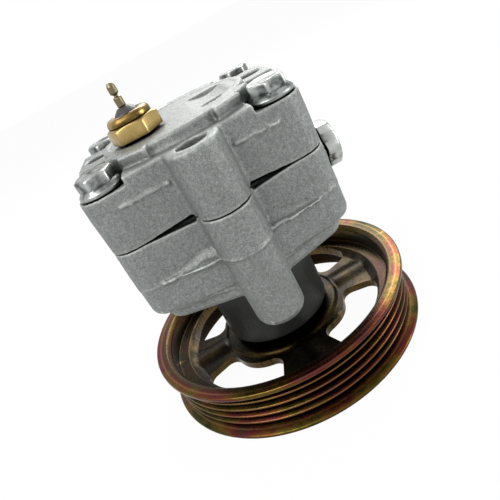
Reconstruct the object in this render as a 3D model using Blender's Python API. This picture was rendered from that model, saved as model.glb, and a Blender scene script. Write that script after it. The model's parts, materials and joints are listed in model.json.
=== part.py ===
"""Vane pump for hydraulic power steering, standing on its belt pulley.

The shaft runs along Z through the origin, which is the middle of the pulley's lower rim face.
The front mounting column looks along -Y, and the valve plug along +X. Sizes are in metres.
"""
import math

import bmesh
import bpy
from mathutils import Matrix, Vector

# Fits
SEAT_GAP = 0.0003
PRESSED_GAP = 0.0001
RUNNING_GAP = 0.00008
VANE_SIDE_GAP = 0.00012
MERGE_DISTANCE = 0.00001
CUT_EXTRA = 0.002

# Facets
RIM_STEPS = 44
DRUM_STEPS = 40
CAP_STEPS = 36
ROUND_STEPS = 24
CASTING_STEPS = 20
SCOOP_STEPS = 72
HOLE_STEPS = 16
SMALL_STEPS = 12
DOWEL_STEPS = 8
ARC_STEP = math.radians(22.5)
SECTOR_STEP = math.radians(10)
SHARP_ANGLE = math.radians(35)
BAR_TURN = math.radians(5)
ROUND_SHARE = 0.3
HEX_FACE_SHARE = 0.95
HEX_CHAMFER = math.radians(30)

# Belt pulley
RIB_PITCH = 0.00356
GROOVE_COUNT = 5
LOWER_FLANGE_HEIGHT = 0.00181
UPPER_FLANGE_HEIGHT = 0.00214
LOWER_FLANGE_RADIUS = 0.0574
UPPER_FLANGE_RADIUS = 0.0569
CREST_RADIUS = 0.0547
CREST_WIDTH = 0.0007
GROOVE_DEPTH = 0.0027
GROOVE_FLOOR_WIDTH = 0.0009
RIM_INNER_RADIUS = 0.0503
RIM_LIP_ROUND = 0.0014
RIM_FOOT_INNER_RADIUS = 0.0490
FLANGE_ROUND = 0.0003
FLANGE_SLOPE = 0.0006
LEDGE_HEIGHT = 0.0132
LEDGE_WIDTH = 0.0051
WEB_HEIGHT = 0.01075
WEB_THICKNESS = 0.003
WEB_STEP_ROUND = 0.0012
HUB_PLATEAU_RADIUS = 0.0255
HUB_PLATEAU_RISE = 0.0015
HUB_BOSS_RADIUS = 0.0118
HUB_BOSS_TOP = 0.0172
SPOKE_COUNT = 4
SPOKE_TURN = math.radians(3)
SPOKE_BULGE = 0.0011
SPOKE_BULGE_HALF_WIDTH = 0.0072
SPOKE_BULGE_CORNER_SHARE = 0.5
SPOKE_BULGE_SHOULDER = 0.6
SPOKE_BULGE_RUN = 2.5
WINDOW_HUB_MARGIN = 0.0014
WINDOW_LEDGE_MARGIN = 0.0016
WINDOW_SPREAD = math.radians(53)
WINDOW_CORNER_SHARE = 0.3
WINDOW_OUTER_BOW = 0.7
WINDOW_INNER_BOW = 0.55
WINDOW_ARC_STEP = math.radians(15)

# Shaft
SHAFT_RADIUS = 0.0085
HUB_SEAT_RADIUS = 0.0075
SHAFT_THREAD_RADIUS = 0.006
SHAFT_END = 0.0009
SPLINE_RADIUS = 0.0072
SPLINE_ROOT_RADIUS = 0.0065
SPLINE_COUNT = 10
SPLINE_ROOT_SHARE = 0.32
SPLINE_TIP_SHARE = 0.18
SHAFT_TAIL_RADIUS = 0.006
SHAFT_CHAMFER = 0.0006
NUT_FLATS = 0.018
NUT_HEIGHT = 0.0055
WASHER_RADIUS = 0.011
WASHER_THICKNESS = 0.0013
KEY_WIDTH = 0.003
KEY_LENGTH = 0.0062
KEY_RISE = 0.0012
KEY_SINK = 0.0016

# Shaft bearing
BEARING_OUTER_RADIUS = 0.020
BEARING_WIDTH = 0.012
BEARING_FOOT = 0.0186
BALL_COUNT = 8
BALL_RADIUS = 0.003375
BALL_PITCH_RADIUS = 0.01425
BALL_SEGMENTS = 9
RACE_ARC_POINTS = 5
RACE_GROOVE_GAP = 0.00035
RACE_SHOULDER = 0.0023
CAGE_WALL = 0.0018
CAGE_BELOW = 0.0048
CAGE_ABOVE = 0.0012
RETAINER_THICKNESS = 0.0014
RETAINER_WIDTH = 0.0034
RETAINER_BITE = 0.001
RETAINER_OPENING = math.radians(28)

# Shaft seal and bush
SEAL_RADIUS = 0.015
SEAL_WIDTH = 0.0065
SEAL_CLEAR = 0.0012
SEAL_WALL = 0.0014
SEAL_LIP_WIDTH = 0.0012
BUSH_WALL = 0.0025
BUSH_LENGTH = 0.018

# Castings in plan
BOLT_X = 0.0303
FRONT_BOLT_Y = -0.028
BACK_BOLT_X = 0.0328
BACK_BOLT_Y = 0.0420
CORNER_RADIUS = 0.0088
EAR_SIDE_X = 0.0420
EAR_FRONT_Y = 0.0070
EAR_STEP = 0.0030
EAR_FILLET = 0.0020
BACK_WALL_Y = 0.0455
COLUMN_X = 0.0010
COLUMN_Y = -0.0400
COLUMN_RADIUS = 0.0092
COLUMN_FILLET = 0.0022
EAR_HOLE_X = 0.0342
EAR_HOLE_Y = 0.0200
MOUNT_HOLE_RADIUS = 0.0053
DRAFT = 0.00028

# Castings in height
COLUMN_FOOT = 0.0375
EAR_COLUMN_FOOT = 0.0480
COLUMN_FOOT_ROUND = 0.0028
COLUMN_ROOT_Y = -0.0300
COLUMN_ARC_STEPS = 10
EAR_COLUMN_RADIUS = 0.0088
BOSS_ROOT = 0.0290
NOSE_FOOT = 0.0143
NOSE_RADIUS = 0.0227
NOSE_CHAMFER = 0.0008
NOSE_FILLET = 0.0020
DRUM_FOOT = 0.0496
DRUM_RADIUS = 0.0412
DRUM_ROUND = 0.0018
DRUM_BACK_STEPS = 20
DRUM_FRONT_STEPS = 3
CORNER_STEPS = 6
CORNER_FOOT = 0.0545
CORNER_TUCK = 0.0055
SHOULDER_INSET = 0.0050
FLASH_HEIGHT = 0.0680
LEDGE_TOP = 0.0735
LEDGE_LAP = 0.0012
SPLIT_HEIGHT = 0.0823
COVER_PARTING = 0.0953
BOLT_SEAT = 0.1015
BACK_BOLT_SEAT = 0.0998
EAR_TOP_BACK_Y = 0.0335
COVER_TOP = 0.1045
CROWN_TOP = 0.1084
EDGE_ROUND = 0.0009
JOINT_GAP_HALF_HEIGHT = 0.0014
JOINT_GAP_FLOOR_Y = -0.0342
JOINT_GAP_REACH_Y = -0.0600
JOINT_GAP_START = 0.0008
JOINT_GAP_END_X = 0.0295

# Crown of the cover
CAP_RADIUS = 0.0284
CAP_GROOVE_INNER = 0.0238
CAP_FOOT_FLARE = 0.0006
CAP_RECESS_RADIUS = 0.0260
CAP_RECESS_DEPTH = 0.0003
COLLAR_RADIUS = 0.0330
COLLAR_FRONT_SPREAD = math.radians(55)
COLLAR_BACK_SPREAD = math.radians(20)
BACK_COLLAR_MIDDLE = math.radians(69)
COLLAR_FILLET = 0.0014
LUG_RADIUS = 0.0357
LUG_START = math.radians(20)
LUG_END = math.radians(38.5)
LUG_ROUND = 0.0008
STEP_X = 0.0224
STEP_ROUND = 0.0040
SPOTFACE_RADIUS = 0.0084
SPOTFACE_DEPTH = 0.0002
POCKET_REACH = 0.0600
SCOOP_X = 0.0145
SCOOP_RADIUS = 0.0220
SCOOP_DEPTH = 0.0014
SCOOP_BACK_Y = 0.0125
SLOT_Y = -0.0095
SLOT_DEPTH = 0.0007
SLOT_RADIUS = 0.0042

# Cartridge
CAVITY_RADIUS = 0.0272
CAVITY_ROOF = 0.1010
FRONT_PLATE_THICKNESS = 0.0025
CAM_HEIGHT = 0.0110
CAM_SHORT_RADIUS = 0.0182
CAM_LIFT = 0.0024
ROTOR_RADIUS = 0.0176
VANE_COUNT = 10
VANE_THICKNESS = 0.0016
VANE_LENGTH = 0.0058
VANE_TIP_RADIUS = 0.0179
VANE_SLOT_FLOOR = 0.0111
PRESSURE_PLATE_THICKNESS = 0.0033
PRESSURE_PLATE_BORE = 0.0100
SPRING_INNER_RADIUS = 0.0200
SPRING_OUTER_RADIUS = 0.0248
SPRING_THICKNESS = 0.0004
SPRING_WAVE = 0.0001
SPRING_WAVES = 3
SNAP_RING_THICKNESS = 0.0010
SNAP_RING_RADIUS = 0.0088
SNAP_RING_SEAT_RADIUS = 0.0052
DOWEL_RADIUS = 0.0016
DOWEL_CIRCLE = 0.0239
DOWEL_SINK = 0.0020
COVER_SEAL_CIRCLE = 0.0310
COVER_SEAL_RADIUS = 0.0012
SEAL_SECTION_STEPS = 6
PORT_INNER_RADIUS = 0.0168
PORT_OUTER_RADIUS = 0.0196
PORT_SPREAD = math.radians(34)

# Flow control valve
VALVE_Y = 0.0010
VALVE_HEIGHT = 0.0702
VALVE_BORE_RADIUS = 0.0060
VALVE_BORE_END = 0.0146
VALVE_BOSS_RADIUS = 0.0103
VALVE_BOSS_FACE = 0.0448
SPOOL_START = 0.0236
SPOOL_LAND = 0.0042
SPOOL_WAIST = 0.0030
SPOOL_WAIST_RADIUS = 0.0042
SPOOL_PIN_RADIUS = 0.0026
SPOOL_PIN = 0.0018
SPRING_WIRE = 0.00048
SPRING_COIL_RADIUS = 0.0043
SPRING_TURNS = 5
SPRING_TURN_STEPS = 8
SPRING_SECTION_STEPS = 6
PLUG_FLATS = 0.017
PLUG_HEAD = 0.0061
PLUG_THREAD_RADIUS = 0.0070
PLUG_THREAD_LENGTH = 0.0085
PLUG_SEAL_CIRCLE = 0.00825
PLUG_SEAL_RADIUS = 0.00065
BLANK_BOSS_RADIUS = 0.0088
BLANK_BOSS_FACE = -0.0401

# Ports on the hidden side
OUTLET_X = 0.0200
OUTLET_BOSS_RADIUS = 0.0098
OUTLET_BOSS_FACE = 0.0480
OUTLET_BORE_RADIUS = 0.0055
OUTLET_BORE_START = 0.0008
INLET_X = -0.0060
INLET_HEIGHT = 0.0915
INLET_BOSS_RADIUS = 0.0086
INLET_BOSS_FACE = 0.0500
INLET_BORE_RADIUS = 0.0062

# Pressure switch
SWITCH_X = -0.0130
SWITCH_Y = -0.0098
SWITCH_FLATS = 0.0170
SWITCH_TURN = math.radians(-8.8)
SWITCH_HEX_HEIGHT = 0.0062
SWITCH_CRIMP_RADIUS = 0.0080
SWITCH_TOP_RADIUS = 0.0066
SWITCH_CRIMP_HEIGHT = 0.0028
SWITCH_THREAD_RADIUS = 0.0049
SWITCH_MOUTH_RADIUS = 0.0047
SWITCH_MOUTH_DEPTH = 0.0014
SWITCH_SHOULDER_ROUND = 0.0010
INSULATOR_RADIUS = 0.0043
INSULATOR_TIP_RADIUS = 0.0019
INSULATOR_HEIGHT = 0.0019
TERMINAL_RADIUS = 0.0015
TERMINAL_WAIST_RADIUS = 0.00075
TERMINAL_STEM = 0.0033
TERMINAL_WAIST = 0.0009
TERMINAL_BULLET = 0.0041
TERMINAL_CONE = 0.0004
TERMINAL_TIP_RADIUS = 0.0009
TERMINAL_ROOT = 0.0012

# Cover bolts
BOLT_RADIUS = 0.00395
BOLT_HOLE_RADIUS = 0.00425
BOLT_LENGTH = 0.0400
BOLT_FLATS = 0.0120
BOLT_FLANGE_RADIUS = 0.0079
BOLT_FLANGE_EDGE = 0.0013
BOLT_FLANGE_RISE = 0.0029
BOLT_HEAD_HEIGHT = 0.0066
BOLT_TIP_CLEAR = 0.0020
BOLT_TURNS = (math.radians(8), math.radians(21), math.radians(14), math.radians(3))

# Sizes that follow from those above
LEDGE_INNER_RADIUS = RIM_INNER_RADIUS - LEDGE_WIDTH
WINDOW_INNER_RADIUS = HUB_PLATEAU_RADIUS + HUB_PLATEAU_RISE + WINDOW_HUB_MARGIN
WINDOW_OUTER_RADIUS = LEDGE_INNER_RADIUS - WINDOW_LEDGE_MARGIN
WINDOW_CORNER = (WINDOW_OUTER_RADIUS - WINDOW_INNER_RADIUS) * WINDOW_CORNER_SHARE
RIM_HEIGHT = LOWER_FLANGE_HEIGHT + GROOVE_COUNT * RIB_PITCH + UPPER_FLANGE_HEIGHT
HOUSING_TOP = SPLIT_HEIGHT - SEAT_GAP / 2
COVER_BOTTOM = SPLIT_HEIGHT + SEAT_GAP / 2
PLATEAU_TOP = WEB_HEIGHT + HUB_PLATEAU_RISE
HUB_BOTTOM = PLATEAU_TOP - WEB_THICKNESS
BEARING_TOP = BEARING_FOOT + BEARING_WIDTH
BEARING_MIDDLE = BEARING_FOOT + BEARING_WIDTH / 2
SEAL_FOOT = BEARING_TOP + SEAL_CLEAR
SEAL_BORE_TOP = SEAL_FOOT + SEAL_WIDTH + SEAT_GAP
BUSH_TOP = HOUSING_TOP - SEAL_CLEAR * 2
PLATE_FOOT = HOUSING_TOP + SEAT_GAP
CAM_FOOT = PLATE_FOOT + FRONT_PLATE_THICKNESS + SEAT_GAP
CAM_TOP = CAM_FOOT + CAM_HEIGHT
ROTOR_FOOT = CAM_FOOT + SEAT_GAP
ROTOR_TOP = CAM_TOP - SEAT_GAP
PRESSURE_PLATE_FOOT = CAM_TOP + SEAT_GAP
PRESSURE_PLATE_TOP = PRESSURE_PLATE_FOOT + PRESSURE_PLATE_THICKNESS
SHAFT_TOP = ROTOR_TOP + SNAP_RING_THICKNESS + 2 * SEAT_GAP + SHAFT_CHAMFER
CAP_FLOOR = CROWN_TOP - CAP_RECESS_DEPTH
SWITCH_SEAT = CAP_FLOOR + SEAT_GAP


def clear_scene():
    """Start from nothing."""
    for item in list(bpy.data.objects):
        bpy.data.objects.remove(item, do_unlink=True)


def finish_material(name, colour, roughness, metallic):
    """A Principled finish with one colour."""
    material = bpy.data.materials.new(name)
    material.use_nodes = True
    shader = material.node_tree.nodes["Principled BSDF"]
    shader.inputs["Base Color"].default_value = (*colour, 1.0)
    shader.inputs["Roughness"].default_value = roughness
    shader.inputs["Metallic"].default_value = metallic
    return material


def add_object(name, mesh):
    """Close a bmesh into a named object with faces out and round sides smooth."""
    bmesh.ops.remove_doubles(mesh, verts=mesh.verts, dist=MERGE_DISTANCE)
    bmesh.ops.recalc_face_normals(mesh, faces=mesh.faces)
    data = bpy.data.meshes.new(name)
    mesh.to_mesh(data)
    mesh.free()
    data.shade_smooth()
    data.set_sharp_from_angle(angle=SHARP_ANGLE)
    item = bpy.data.objects.new(name, data)
    bpy.context.scene.collection.objects.link(item)
    return item


def lathe(name, profile, steps=ROUND_STEPS, sweep=2 * math.pi, start=0.0):
    """Turn a (radius, height) profile about Z; a profile off the axis is closed into a ring."""
    mesh = bmesh.new()
    turn = Matrix.Rotation(start, 4, "Z")
    points = [mesh.verts.new(turn @ Vector((radius, 0.0, height))) for radius, height in profile]
    edges = [mesh.edges.new(pair) for pair in zip(points, points[1:])]
    if profile[0][0] > 0.0:
        edges.append(mesh.edges.new((points[-1], points[0])))
    whole = sweep >= 2 * math.pi
    bmesh.ops.spin(mesh, geom=points + edges, cent=(0, 0, 0), axis=(0, 0, 1), angle=sweep,
                   steps=steps, use_merge=whole)
    if not whole:
        rims = [edge for edge in mesh.edges if edge.is_boundary]
        bmesh.ops.holes_fill(mesh, edges=rims)
    return add_object(name, mesh)


def prism(name, outline, bottom, top):
    """Raise a plan outline between two heights."""
    return loft(name, [(outline, bottom), (outline, top)])


def loft(name, sections):
    """Skin a stack of (outline, height) sections that have the same number of points."""
    mesh = bmesh.new()
    rings = []
    for outline, height in sections:
        rings.append([mesh.verts.new((x, y, height)) for x, y in outline])
    for lower, upper in zip(rings, rings[1:]):
        for index in range(len(lower)):
            after = (index + 1) % len(lower)
            mesh.faces.new((lower[index], lower[after], upper[after], upper[index]))
    mesh.faces.new(list(reversed(rings[0])))
    mesh.faces.new(rings[-1])
    return add_object(name, mesh)


def cylinder(name, radius, bottom, top, steps=ROUND_STEPS):
    """A plain round bar along Z, its facets turned clear of the casting's."""
    return lathe(name, [(0.0, bottom), (radius, bottom), (radius, top), (0.0, top)], steps, start=BAR_TURN)


def stand(item, x, y, height=0.0):
    """Move an upright piece to its axis."""
    item.location = (x, y, height)
    return item


def point_along_x(item, y, height):
    """Lay a piece built along +Z so that it points along +X."""
    item.rotation_euler = (0.0, math.pi / 2, 0.0)
    item.location = (0.0, y, height)
    return item


def point_along_y(item, x, height):
    """Lay a piece built along +Z so that it points along +Y."""
    item.rotation_euler = (-math.pi / 2, 0.0, 0.0)
    item.location = (x, 0.0, height)
    return item


def combine(target, tool, operation):
    """Add a live Boolean and hide its tool."""
    modifier = target.modifiers.new(tool.name, "BOOLEAN")
    modifier.operation = operation
    modifier.solver = "EXACT"
    modifier.object = tool
    tool.hide_render = True
    tool.display_type = "WIRE"


def weld(target):
    """Close the hair cracks that a chain of Booleans can leave."""
    modifier = target.modifiers.new("weld", "WELD")
    modifier.merge_threshold = MERGE_DISTANCE


def cut(target, *tools):
    """Take each tool's shape out of the target."""
    for tool in tools:
        combine(target, tool, "DIFFERENCE")


def join(target, *tools):
    """Grow the target by each tool's shape."""
    for tool in tools:
        combine(target, tool, "UNION")


def arc_points(centre, radius, start, end, steps):
    """Points along an arc in plan, both ends included."""
    points = []
    for index in range(steps + 1):
        angle = start + (end - start) * index / steps
        points.append((centre[0] + radius * math.cos(angle), centre[1] + radius * math.sin(angle)))
    return points


def rounded_outline(corners, arc_step=ARC_STEP):
    """A closed outline from (x, y, radius) corners, each turned into an arc."""
    outline = []
    count = len(corners)
    for index, (x, y, radius) in enumerate(corners):
        here = Vector((x, y))
        before = (Vector(corners[index - 1][:2]) - here).normalized()
        after = (Vector(corners[(index + 1) % count][:2]) - here).normalized()
        half_angle = before.angle(after) / 2
        reach = radius / math.tan(half_angle)
        centre = here + (before + after).normalized() * (radius / math.sin(half_angle))
        first = here + before * reach - centre
        last = here + after * reach - centre
        turn = first.angle_signed(last) * -1
        steps = max(2, round(abs(turn) / arc_step))
        start = math.atan2(first.y, first.x)
        outline += arc_points(centre, radius, start, start + turn, steps)
    return [point for index, point in enumerate(outline)
            if (Vector(point) - Vector(outline[index - 1])).length > MERGE_DISTANCE]


def grow(outline, distance):
    """Move each point of an anticlockwise outline outwards along its own normal."""
    grown = []
    count = len(outline)
    for index in range(count):
        before = Vector(outline[index - 1])
        after = Vector(outline[(index + 1) % count])
        along = (after - before).normalized()
        grown.append((outline[index][0] + along.y * distance, outline[index][1] - along.x * distance))
    return grown


def sector_outline(inner, outer, start, end):
    """A ring sector in plan."""
    steps = max(3, round((end - start) / SECTOR_STEP))
    return (arc_points((0.0, 0.0), outer, start, end, steps)
            + arc_points((0.0, 0.0), inner, end, start, steps))


def hexagon(flats, turn=0.0):
    """A hexagon in plan, from its width across flats."""
    corner = flats / math.sqrt(3)
    return [(corner * math.cos(turn + index * math.pi / 3),
             corner * math.sin(turn + index * math.pi / 3)) for index in range(6)]


def hex_head(name, flats, bottom, top, turn=0.0):
    """A hexagon whose top corners are turned off by a 30 degree chamfer."""
    head = prism(name, hexagon(flats, turn), bottom, top)
    corner = flats / math.sqrt(3)
    face = flats / 2 * HEX_FACE_SHARE
    slope = math.tan(HEX_CHAMFER)
    guard = corner + CUT_EXTRA
    below = bottom - CUT_EXTRA
    chamfer = lathe(name + "_chamfer", [
        (0.0, below), (guard, below), (guard, top - (guard - face) * slope),
        (face, top), (0.0, top)], HOLE_STEPS)
    combine(head, chamfer, "INTERSECT")
    return head


def casting_corners():
    """Plan of the two castings where they meet, anticlockwise from the front left corner."""
    side = BOLT_X + CORNER_RADIUS
    front = FRONT_BOLT_Y - CORNER_RADIUS
    back = BACK_BOLT_Y + CORNER_RADIUS
    left, right = COLUMN_X - COLUMN_RADIUS, COLUMN_X + COLUMN_RADIUS
    tip = COLUMN_Y - COLUMN_RADIUS
    pocket = BACK_BOLT_X - CORNER_RADIUS
    column = [(left, front, COLUMN_FILLET), (left, tip, COLUMN_RADIUS),
              (right, tip, COLUMN_RADIUS), (right, front, COLUMN_FILLET)]
    right_side = [(side, front, CORNER_RADIUS), (side, EAR_FRONT_Y - EAR_STEP, EAR_FILLET),
                  (EAR_SIDE_X, EAR_FRONT_Y, EAR_FILLET), (EAR_SIDE_X, back, CORNER_RADIUS),
                  (pocket, back, COLUMN_FILLET), (pocket - EAR_STEP, BACK_WALL_Y, COLUMN_FILLET)]
    left_side = [(-x, y, radius) for x, y, radius in reversed(right_side)]
    return column + right_side + left_side


def drum_outline(inset, tuck):
    """Plan of the drum drawn out round the two front corner bosses, which tuck in near its foot."""
    reach = math.hypot(BOLT_X, FRONT_BOLT_Y)
    share = 1 - tuck / reach
    spread = math.acos((DRUM_RADIUS - CORNER_RADIUS) / (reach * share))
    toward = math.atan2(FRONT_BOLT_Y, BOLT_X)
    first, last = toward - spread, toward + spread
    drum, corner = DRUM_RADIUS - inset, CORNER_RADIUS - inset
    right = (BOLT_X * share, FRONT_BOLT_Y * share)
    left = (-right[0], right[1])
    return (arc_points((0.0, 0.0), drum, last, math.pi - last, DRUM_BACK_STEPS)[1:-1]
            + arc_points(left, corner, math.pi - last, math.pi - first, CORNER_STEPS)
            + arc_points((0.0, 0.0), drum, math.pi - first, 2 * math.pi + first, DRUM_FRONT_STEPS)[1:-1]
            + arc_points(right, corner, 2 * math.pi + first, 2 * math.pi + last, CORNER_STEPS))


def build_drum():
    """The round lower body with its sloping shoulder under the flange."""
    mild = DRUM_ROUND * ROUND_SHARE
    return loft("housing_drum", [
        (drum_outline(DRUM_ROUND, CORNER_TUCK), DRUM_FOOT), (drum_outline(mild, CORNER_TUCK), DRUM_FOOT + mild),
        (drum_outline(0.0, CORNER_TUCK), DRUM_FOOT + DRUM_ROUND), (drum_outline(0.0, CORNER_TUCK), CORNER_FOOT),
        (drum_outline(0.0, mild), CORNER_FOOT + DRUM_ROUND), (drum_outline(0.0, 0.0), CORNER_FOOT + 2 * DRUM_ROUND),
        (drum_outline(0.0, 0.0), FLASH_HEIGHT), (drum_outline(SHOULDER_INSET, 0.0), LEDGE_TOP)])


def build_nose():
    """The turned nose that carries the bearing."""
    return lathe("housing_nose", [
        (0.0, NOSE_FOOT), (NOSE_RADIUS - NOSE_CHAMFER, NOSE_FOOT), (NOSE_RADIUS, NOSE_FOOT + NOSE_CHAMFER),
        (NOSE_RADIUS, DRUM_FOOT - NOSE_FILLET), (NOSE_RADIUS + NOSE_FILLET, DRUM_FOOT + SEAT_GAP),
        (NOSE_RADIUS, DRUM_FOOT + CUT_EXTRA), (0.0, DRUM_FOOT + CUT_EXTRA)], DRUM_STEPS)


def build_housing_body():
    """The lower casting before machining: flange, drum, nose and mounting columns."""
    plan = rounded_outline(casting_corners())
    housing = loft("housing", [(grow(plan, DRAFT), FLASH_HEIGHT - LEDGE_LAP), (grow(plan, DRAFT), FLASH_HEIGHT),
                               (plan, HOUSING_TOP)])
    join(housing, build_drum(), build_nose())
    for side in (-1, 1):
        join(housing, build_ear_column(side))
    join(housing, build_front_column(), build_valve_boss(), build_blank_boss(), build_outlet_boss())
    return housing


def rounded_foot(radius, foot, top, rounding):
    """Profile of an upright boss with a rounded underside."""
    return [(0.0, foot), (radius - rounding, foot),
            (radius - rounding * ROUND_SHARE, foot + rounding * ROUND_SHARE),
            (radius, foot + rounding), (radius, top), (0.0, top)]


def build_ear_column(side):
    """The column under a side mounting hole, with the boss of the back bolt behind it."""
    name = "housing_ear_left" if side < 0 else "housing_ear_right"
    profile = rounded_foot(EAR_COLUMN_RADIUS, EAR_COLUMN_FOOT, LEDGE_TOP, COLUMN_FOOT_ROUND)
    column = stand(lathe(name, profile, CASTING_STEPS), side * EAR_HOLE_X, EAR_HOLE_Y)
    back = lathe(name + "_back", rounded_foot(CORNER_RADIUS - DRAFT, CORNER_FOOT, LEDGE_TOP, DRUM_ROUND),
                 CASTING_STEPS)
    back.location = (side * BACK_BOLT_X, BACK_BOLT_Y, 0.0)
    join(column, back)
    return column


def column_outline(inset):
    """Plan of the front column, run back into the drum."""
    radius = COLUMN_RADIUS - inset
    nose = arc_points((COLUMN_X, COLUMN_Y), radius, math.pi, 2 * math.pi, COLUMN_ARC_STEPS)
    return [(COLUMN_X - radius, COLUMN_ROOT_Y)] + nose + [(COLUMN_X + radius, COLUMN_ROOT_Y)]


def build_front_column():
    """The column under the front mounting hole, tapered and rounded at its foot."""
    return loft("housing_column", [
        (column_outline(COLUMN_FOOT_ROUND + DRAFT), COLUMN_FOOT),
        (column_outline(COLUMN_FOOT_ROUND * ROUND_SHARE + DRAFT), COLUMN_FOOT + COLUMN_FOOT_ROUND * ROUND_SHARE),
        (column_outline(DRAFT), COLUMN_FOOT + COLUMN_FOOT_ROUND),
        (column_outline(DRAFT / 2), LEDGE_TOP)])


def build_valve_boss():
    """The round boss that takes the valve plug."""
    boss = lathe("housing_valve_boss", [
        (0.0, BOSS_ROOT), (VALVE_BOSS_RADIUS + DRAFT, BOSS_ROOT),
        (VALVE_BOSS_RADIUS, VALVE_BOSS_FACE - EDGE_ROUND),
        (VALVE_BOSS_RADIUS - EDGE_ROUND, VALVE_BOSS_FACE), (0.0, VALVE_BOSS_FACE)], CASTING_STEPS)
    return point_along_x(boss, VALVE_Y, VALVE_HEIGHT)


def build_blank_boss():
    """The closed far end of the valve bore's boss."""
    boss = lathe("housing_blank_boss", [
        (0.0, BLANK_BOSS_FACE), (BLANK_BOSS_RADIUS - EDGE_ROUND, BLANK_BOSS_FACE),
        (BLANK_BOSS_RADIUS, BLANK_BOSS_FACE + EDGE_ROUND), (BLANK_BOSS_RADIUS, -BOSS_ROOT),
        (0.0, -BOSS_ROOT)], CASTING_STEPS)
    return point_along_x(boss, VALVE_Y, VALVE_HEIGHT)


def build_outlet_boss():
    """The pressure outlet's boss on the back."""
    boss = lathe("housing_outlet_boss", [
        (0.0, BOSS_ROOT), (OUTLET_BOSS_RADIUS + DRAFT, BOSS_ROOT),
        (OUTLET_BOSS_RADIUS, OUTLET_BOSS_FACE - EDGE_ROUND),
        (OUTLET_BOSS_RADIUS - EDGE_ROUND, OUTLET_BOSS_FACE), (0.0, OUTLET_BOSS_FACE)], CASTING_STEPS)
    return point_along_y(boss, OUTLET_X, VALVE_HEIGHT)


def build_mount_hole(name, x, y, bottom, top):
    """A through hole for a mounting bolt."""
    return stand(cylinder(name, MOUNT_HOLE_RADIUS, bottom - CUT_EXTRA, top + CUT_EXTRA, HOLE_STEPS), x, y)


def mount_places():
    """The three mounting axes."""
    return (("front", COLUMN_X, COLUMN_Y), ("left", -EAR_HOLE_X, EAR_HOLE_Y),
            ("right", EAR_HOLE_X, EAR_HOLE_Y))


def bolt_places():
    """The four cover bolt axes and seats."""
    return ((-BOLT_X, FRONT_BOLT_Y, BOLT_SEAT), (BOLT_X, FRONT_BOLT_Y, BOLT_SEAT),
            (-BACK_BOLT_X, BACK_BOLT_Y, BACK_BOLT_SEAT), (BACK_BOLT_X, BACK_BOLT_Y, BACK_BOLT_SEAT))


def dowel_places():
    """The two dowel pin axes."""
    return ((-DOWEL_CIRCLE, 0.0), (DOWEL_CIRCLE, 0.0))


def build_shaft_bores():
    """The stepped bore for the bearing, the seal and the bush."""
    groove_foot = BEARING_FOOT - RETAINER_THICKNESS - 2 * SEAT_GAP
    bearing = BEARING_OUTER_RADIUS + SEAT_GAP
    seal = SEAL_RADIUS + SEAT_GAP
    bush = SHAFT_RADIUS + RUNNING_GAP + BUSH_WALL + SEAT_GAP
    return lathe("housing_shaft_bore", [
        (0.0, NOSE_FOOT - CUT_EXTRA), (bearing, NOSE_FOOT - CUT_EXTRA), (bearing, groove_foot),
        (bearing + RETAINER_BITE, groove_foot), (bearing + RETAINER_BITE, BEARING_FOOT),
        (bearing, BEARING_FOOT), (bearing, BEARING_TOP + SEAT_GAP), (seal, BEARING_TOP + SEAT_GAP),
        (seal, SEAL_BORE_TOP), (bush, SEAL_BORE_TOP), (bush, HOUSING_TOP + CUT_EXTRA),
        (0.0, HOUSING_TOP + CUT_EXTRA)])


def build_valve_bore():
    """The valve's bore with a wider thread and a seat for the plug seal."""
    thread = PLUG_THREAD_RADIUS + SEAT_GAP
    thread_end = VALVE_BOSS_FACE - PLUG_THREAD_LENGTH - SEAT_GAP
    recess = PLUG_SEAL_CIRCLE + PLUG_SEAL_RADIUS + SEAT_GAP
    recess_floor = VALVE_BOSS_FACE - 2 * PLUG_SEAL_RADIUS - SEAT_GAP
    bore = lathe("housing_valve_bore", [
        (0.0, VALVE_BORE_END), (VALVE_BORE_RADIUS, VALVE_BORE_END), (VALVE_BORE_RADIUS, thread_end),
        (thread, thread_end), (thread, recess_floor), (recess, recess_floor),
        (recess, VALVE_BOSS_FACE + CUT_EXTRA), (0.0, VALVE_BOSS_FACE + CUT_EXTRA)], HOLE_STEPS)
    return point_along_x(bore, VALVE_Y, VALVE_HEIGHT)


def build_outlet_bore():
    """The outlet's bore, which opens into the valve bore."""
    bore = cylinder("housing_outlet_bore", OUTLET_BORE_RADIUS, VALVE_Y + OUTLET_BORE_START,
                    OUTLET_BOSS_FACE + CUT_EXTRA, HOLE_STEPS)
    return point_along_y(bore, OUTLET_X, VALVE_HEIGHT)


def build_joint_gap(side):
    """The tapered gap between the castings on one side of the front column."""
    name = "joint_gap_left" if side < 0 else "joint_gap_right"
    start = COLUMN_X + side * (COLUMN_RADIUS + JOINT_GAP_START)
    corners = [(start, -JOINT_GAP_HALF_HEIGHT), (side * JOINT_GAP_END_X, 0.0), (start, JOINT_GAP_HALF_HEIGHT)]
    if side < 0:
        corners.reverse()
    return point_along_y(prism(name, corners, JOINT_GAP_REACH_Y, JOINT_GAP_FLOOR_Y), 0.0, SPLIT_HEIGHT)


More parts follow.
